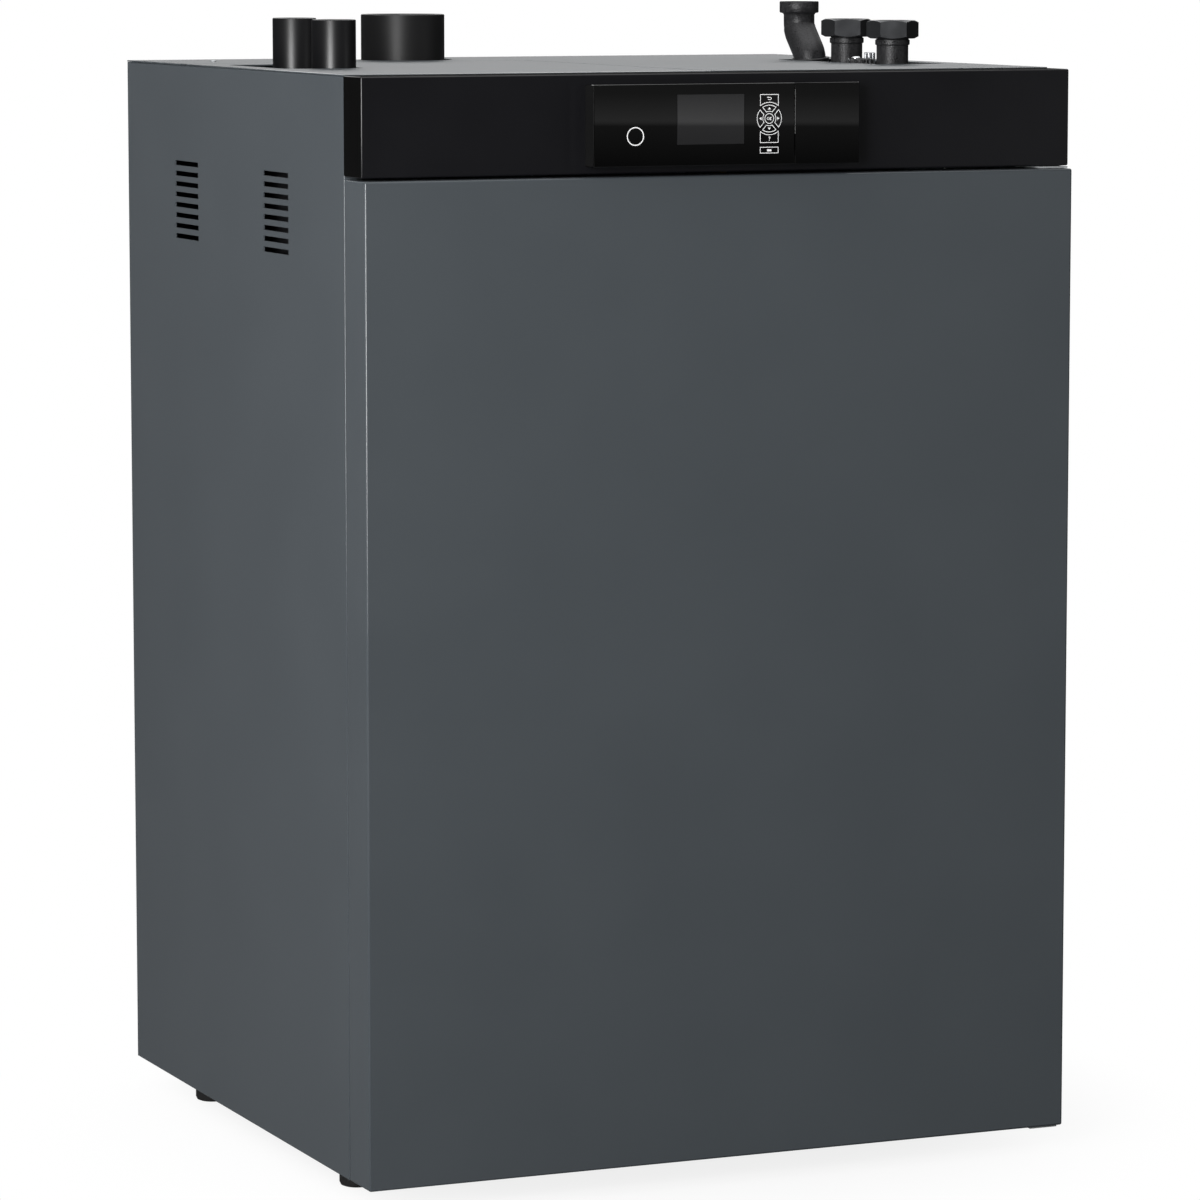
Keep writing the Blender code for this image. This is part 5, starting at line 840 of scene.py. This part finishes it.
# Insulation
# A mat of yellow-brown mineral wool round the vessel, held by two thin steel bands, each
# closed with a clasp in front.
wool = surface("mineral_wool", (shade(150, 132, 84), shade(186, 170, 120)), 0.95, grain=260,
               bump=0.0012, patch=60)
clothe(wool, "boiler_insulation")


def blocks(name, boxes, material, edge, body="casing"):
    """Small boxes with softened edges, given by their corners, as one piece."""
    bm = bmesh.new()
    for near, far in boxes:
        centre = (Vector(near) + Vector(far)) / 2
        size = Vector(far) - Vector(near)
        bmesh.ops.create_cube(bm, size=1, matrix=Matrix.LocRotScale(centre, None, size))
    for face in bm.faces:
        face.smooth = False
    soften(bm, edge)
    piece(name, bm, material, body)


BAND = 0.0006
BAND_WIDTH = 0.016
BAND_PLACES = (0.640, 0.815)
CLASP_RISE = 0.0035
CLASP_OVER = 0.003
low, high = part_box("boiler_insulation")
bands = []
for under in BAND_PLACES:
    up = under + BAND_WIDTH
    bands += [((low.x - BAND, low.y - BAND, under), (high.x + BAND, low.y, up)),
              ((low.x - BAND, high.y, under), (high.x + BAND, high.y + BAND, up)),
              ((low.x - BAND, low.y, under), (low.x, high.y, up)),
              ((high.x, low.y, under), (high.x + BAND, high.y, up)),
              ((low.x + 0.040, low.y - CLASP_RISE, under - CLASP_OVER),
               (low.x + 0.066, low.y - BAND, up + CLASP_OVER))]
blocks("insulation_bands", bands, zinc, 0.0001)

# Combustion door and its handle
# Cast iron door on knuckles with a white glass-fibre rope seal round its rim, and a black
# grip on a turned hub.
cast = surface("cast_iron", (shade(48, 48, 49), shade(60, 59, 58)), 0.65, 0.5, grain=350,
               bump=0.00020, patch=30)
clothe(cast, "combustion_door")
clothe(satin, "combustion_door_handle")
rope = surface("glass_fibre_rope", (shade(176, 174, 166), shade(206, 204, 196)), 0.9, grain=420,
               bump=0.0008, patch=200)
ROPE = 0.0028
ROPE_DEPTH = 0.0030
ROPE_MARGIN = 0.006
ROPE_CORNER = 0.012
KNUCKLE_SIDE = 0.030
low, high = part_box("combustion_door")
left, right = low.x + ROPE_MARGIN, high.x - KNUCKLE_SIDE
bottom, top = low.z + ROPE_MARGIN, high.z - ROPE_MARGIN
inner_left, inner_right = left + ROPE_CORNER, right - ROPE_CORNER
inner_bottom, inner_top = bottom + ROPE_CORNER, top - ROPE_CORNER
seal = [(inner_left, bottom), (inner_right, bottom), (right, inner_bottom), (right, inner_top),
        (inner_right, top), (inner_left, top), (left, inner_top), (left, inner_bottom),
        (inner_left, bottom)]
rope_line = [(x, high.y - ROPE_DEPTH, z) for x, z in seal]
piece("rope_seal", pipe(rope_line, ROPE, sides=12), rope, "combustion_door")

# Burner pot, grate and igniter
# Cast iron pot on the firebox floor, with a drilled grate that slides in its bottom, and a
# thin igniter rod at its side.
clothe(cast, "burner_pot", "burner_grate")
clothe(zinc, "igniter")

# Ash box and its handle
# A drawer of folded zinc-coated sheet under the firebox, with a bail of bent bar at its
# front and four rivets.


def front_corners(name, margin):
    """The four corners of a CAD node's front, set in by a margin."""
    low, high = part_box(name)
    return [(x, low.y, z) for x in (low.x + margin, high.x - margin)
            for z in (low.z + margin, high.z - margin)]


clothe(zinc, "ash_box", "ash_box_handle")
heads("ash_box_rivets", front_corners("ash_box_handle", 0.007), (0, -1, 0), 0.0024, "ash_box")

# Feed screw and its tube
# A zinc-coated steel tube with a welded screw inside, turned by a small geared motor in
# dark enamel, which has four bolts in its front.
enamel = surface("motor_enamel", (shade(38, 40, 44), shade(46, 48, 52)), 0.42, 0.1, grain=700,
                 bump=0.00003)
clothe(zinc, "auger_tube", "feed_auger")
clothe(enamel, "feed_motor")
MOTOR_BOLT = 0.003
MOTOR_BOLT_MARGIN = 0.008
heads("feed_motor_bolts", front_corners("feed_motor", MOTOR_BOLT_MARGIN), (0, -1, 0),
      MOTOR_BOLT, hexagon=True)

# Rotary valve
# A die-cast housing with a bladed wheel, which keeps fire out of the pellet store. Its own
# geared motor turns it.
alloy = surface("die_cast_alloy", (shade(140, 142, 144), shade(160, 162, 163)), 0.5, 0.8, grain=500,
                bump=0.00006, patch=40)
clothe(alloy, "rotary_valve_housing")
clothe(zinc, "rotary_valve_wheel")
clothe(enamel, "valve_motor")
heads("valve_motor_bolts", front_corners("valve_motor", MOTOR_BOLT_MARGIN), (0, -1, 0),
      MOTOR_BOLT, hexagon=True)

# Pellet store
# A box and funnel of zinc-coated sheet over the rotary valve, with six rivets along each
# of its folded front edges.
RIVET_MARGIN = 0.012
RIVET_BOTTOM = 0.740
RIVET_STEP = 0.048
clothe(zinc, "pellet_hopper")
low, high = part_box("pellet_hopper")
heads("store_rivets", [(x, low.y, RIVET_BOTTOM + RIVET_STEP * step)
                       for x in (low.x + RIVET_MARGIN, high.x - RIVET_MARGIN)
                       for step in range(6)], (0, -1, 0), 0.0022)

# Pellet separator and suction turbine
# Black moulded box with a dome, screwed on the store, and the turbine that sucks air
# through it.
moulded = surface("moulded_black", (shade(28, 28, 30), shade(34, 34, 36)), 0.5, grain=800,
                  bump=0.00003)
clothe(moulded, "suction_separator")
clothe(enamel, "suction_turbine")
TURBINE_SCREW_RING = 0.030
TURBINE_SCREW_ANGLES = (0.6, 2.17, 3.74, 5.31)
x, y, _ = middle("suction_turbine")
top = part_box("suction_turbine")[1].z
heads("turbine_screws", [(x + TURBINE_SCREW_RING * math.cos(angle),
                          y + TURBINE_SCREW_RING * math.sin(angle), top)
                         for angle in TURBINE_SCREW_ANGLES], (0, 0, 1), 0.0026)

# Flue fan and cleaning rack
# A die-cast spiral housing with a sheet impeller and an enamelled motor, at the end of a
# sheet smoke duct. The rack and its turbulators are zinc-coated too.
FAN_BOLT_RING = 0.026
FAN_BOLT_ANGLES = (0.8, 2.37, 3.94, 5.51)
clothe(alloy, "fan_housing")
clothe(zinc, "smoke_duct", "fan_impeller", "cleaning_rack")
clothe(enamel, "fan_motor")
low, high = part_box("fan_motor")
heads("fan_motor_bolts", [(low.x, (low.y + high.y) / 2 + FAN_BOLT_RING * math.cos(angle),
                           (low.z + high.z) / 2 + FAN_BOLT_RING * math.sin(angle))
                          for angle in FAN_BOLT_ANGLES], (-1, 0, 0), 0.0028)

# Circuit board
# Green epoxy board behind the control unit, with chips, a transformer, relays and
# terminal blocks soldered on.
resin = surface("board_resin", (shade(18, 76, 44), shade(24, 92, 54)), 0.35, grain=900,
                bump=0.00001)
clothe(resin, "control_board")
SOLDER_DEPTH = 0.0012
TERMINAL_STEP = 0.024
BOARD_PARTS = [(0.012 + TERMINAL_STEP * step, 0.008, 0.018, 0.014, 0.010) for step in range(8)]
BOARD_PARTS += [(0.030, 0.032, 0.032, 0.026, 0.022), (0.080, 0.034, 0.016, 0.016, 0.003),
                (0.110, 0.034, 0.024, 0.020, 0.012), (0.146, 0.034, 0.024, 0.020, 0.012)]
low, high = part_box("control_board")
blocks("board_parts", [((low.x + x, high.y - SOLDER_DEPTH, low.z + z),
                        (low.x + x + width, high.y + rise, low.z + z + height))
                       for x, z, width, height, rise in BOARD_PARTS],
       moulded, 0.0006)

# Cable conduits
# Corrugated black conduits run from the control unit to the turbine, the flue fan and the
# two feed motors.
CONDUIT = 0.0040
CONDUIT_GROOVE = 0.00336


def run_of(points, count):
    """A smooth run through the points, with even steps between each two of them."""
    marks = [Vector(point) for point in points]
    marks = [marks[0] * 2 - marks[1]] + marks + [marks[-1] * 2 - marks[-2]]
    path = []
    for a, b, c, d in zip(marks, marks[1:], marks[2:], marks[3:]):
        for step in range(count):
            t = step / count
            path.append(0.5 * (2 * b + (c - a) * t + (2 * a - 5 * b + 4 * c - d) * t ** 2
                               + (3 * b - a - 3 * c + d) * t ** 3))
    return path + [marks[-2]]


def conduit(name, points, count=26):
    """A corrugated conduit whose ridges and grooves take turns along its route."""
    path = run_of(points, count)
    radii = [CONDUIT if step % 2 else CONDUIT_GROOVE for step in range(len(path))]
    piece(name, pipe(path, radii, sides=14, closed=True), moulded, smooth=60)


conduit("turbine_conduit", [(-0.210, -0.288, 1.150), (-0.235, -0.240, 1.160), (-0.258, -0.180, 1.150),
                            (-0.260, -0.133, 1.118)])
conduit("fan_conduit", [(-0.110, -0.288, 1.150), (-0.098, -0.200, 1.148), (-0.094, 0.050, 1.146),
                        (-0.110, 0.180, 1.130), (-0.180, 0.230, 1.100), (-0.202, 0.290, 1.053)], 40)
conduit("feed_conduit", [(-0.082, -0.290, 1.150), (-0.084, -0.306, 1.120), (-0.086, -0.312, 1.060),
                         (-0.086, -0.312, 0.800), (-0.092, -0.310, 0.500), (-0.140, -0.290, 0.440),
                         (-0.220, -0.240, 0.400), (-0.255, -0.2094, 0.398)], 44)

# Vessel fittings
# A brass well, turned from round bar, on top of the smoke box takes the bulb of the
# safety thermostat.
brass = surface("brass_fitting", (shade(168, 138, 74), shade(190, 160, 92)), 0.3, 0.95, grain=300,
                bump=0.00001, patch=80)
WELL = (0.220, 0.120, 1.0903)
bm = lathe([(0, 0), (0.009, 0), (0.009, 0.010), (0.0105, 0.010), (0.0105, 0.018), (0.006, 0.020),
            (0.006, 0.034), (0.0045, 0.036), (0, 0.036)], WELL, 24)
piece("thermostat_well", bm, brass)

# Sizes
# The box round every part that is rendered, the floor left out.
low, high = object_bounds()
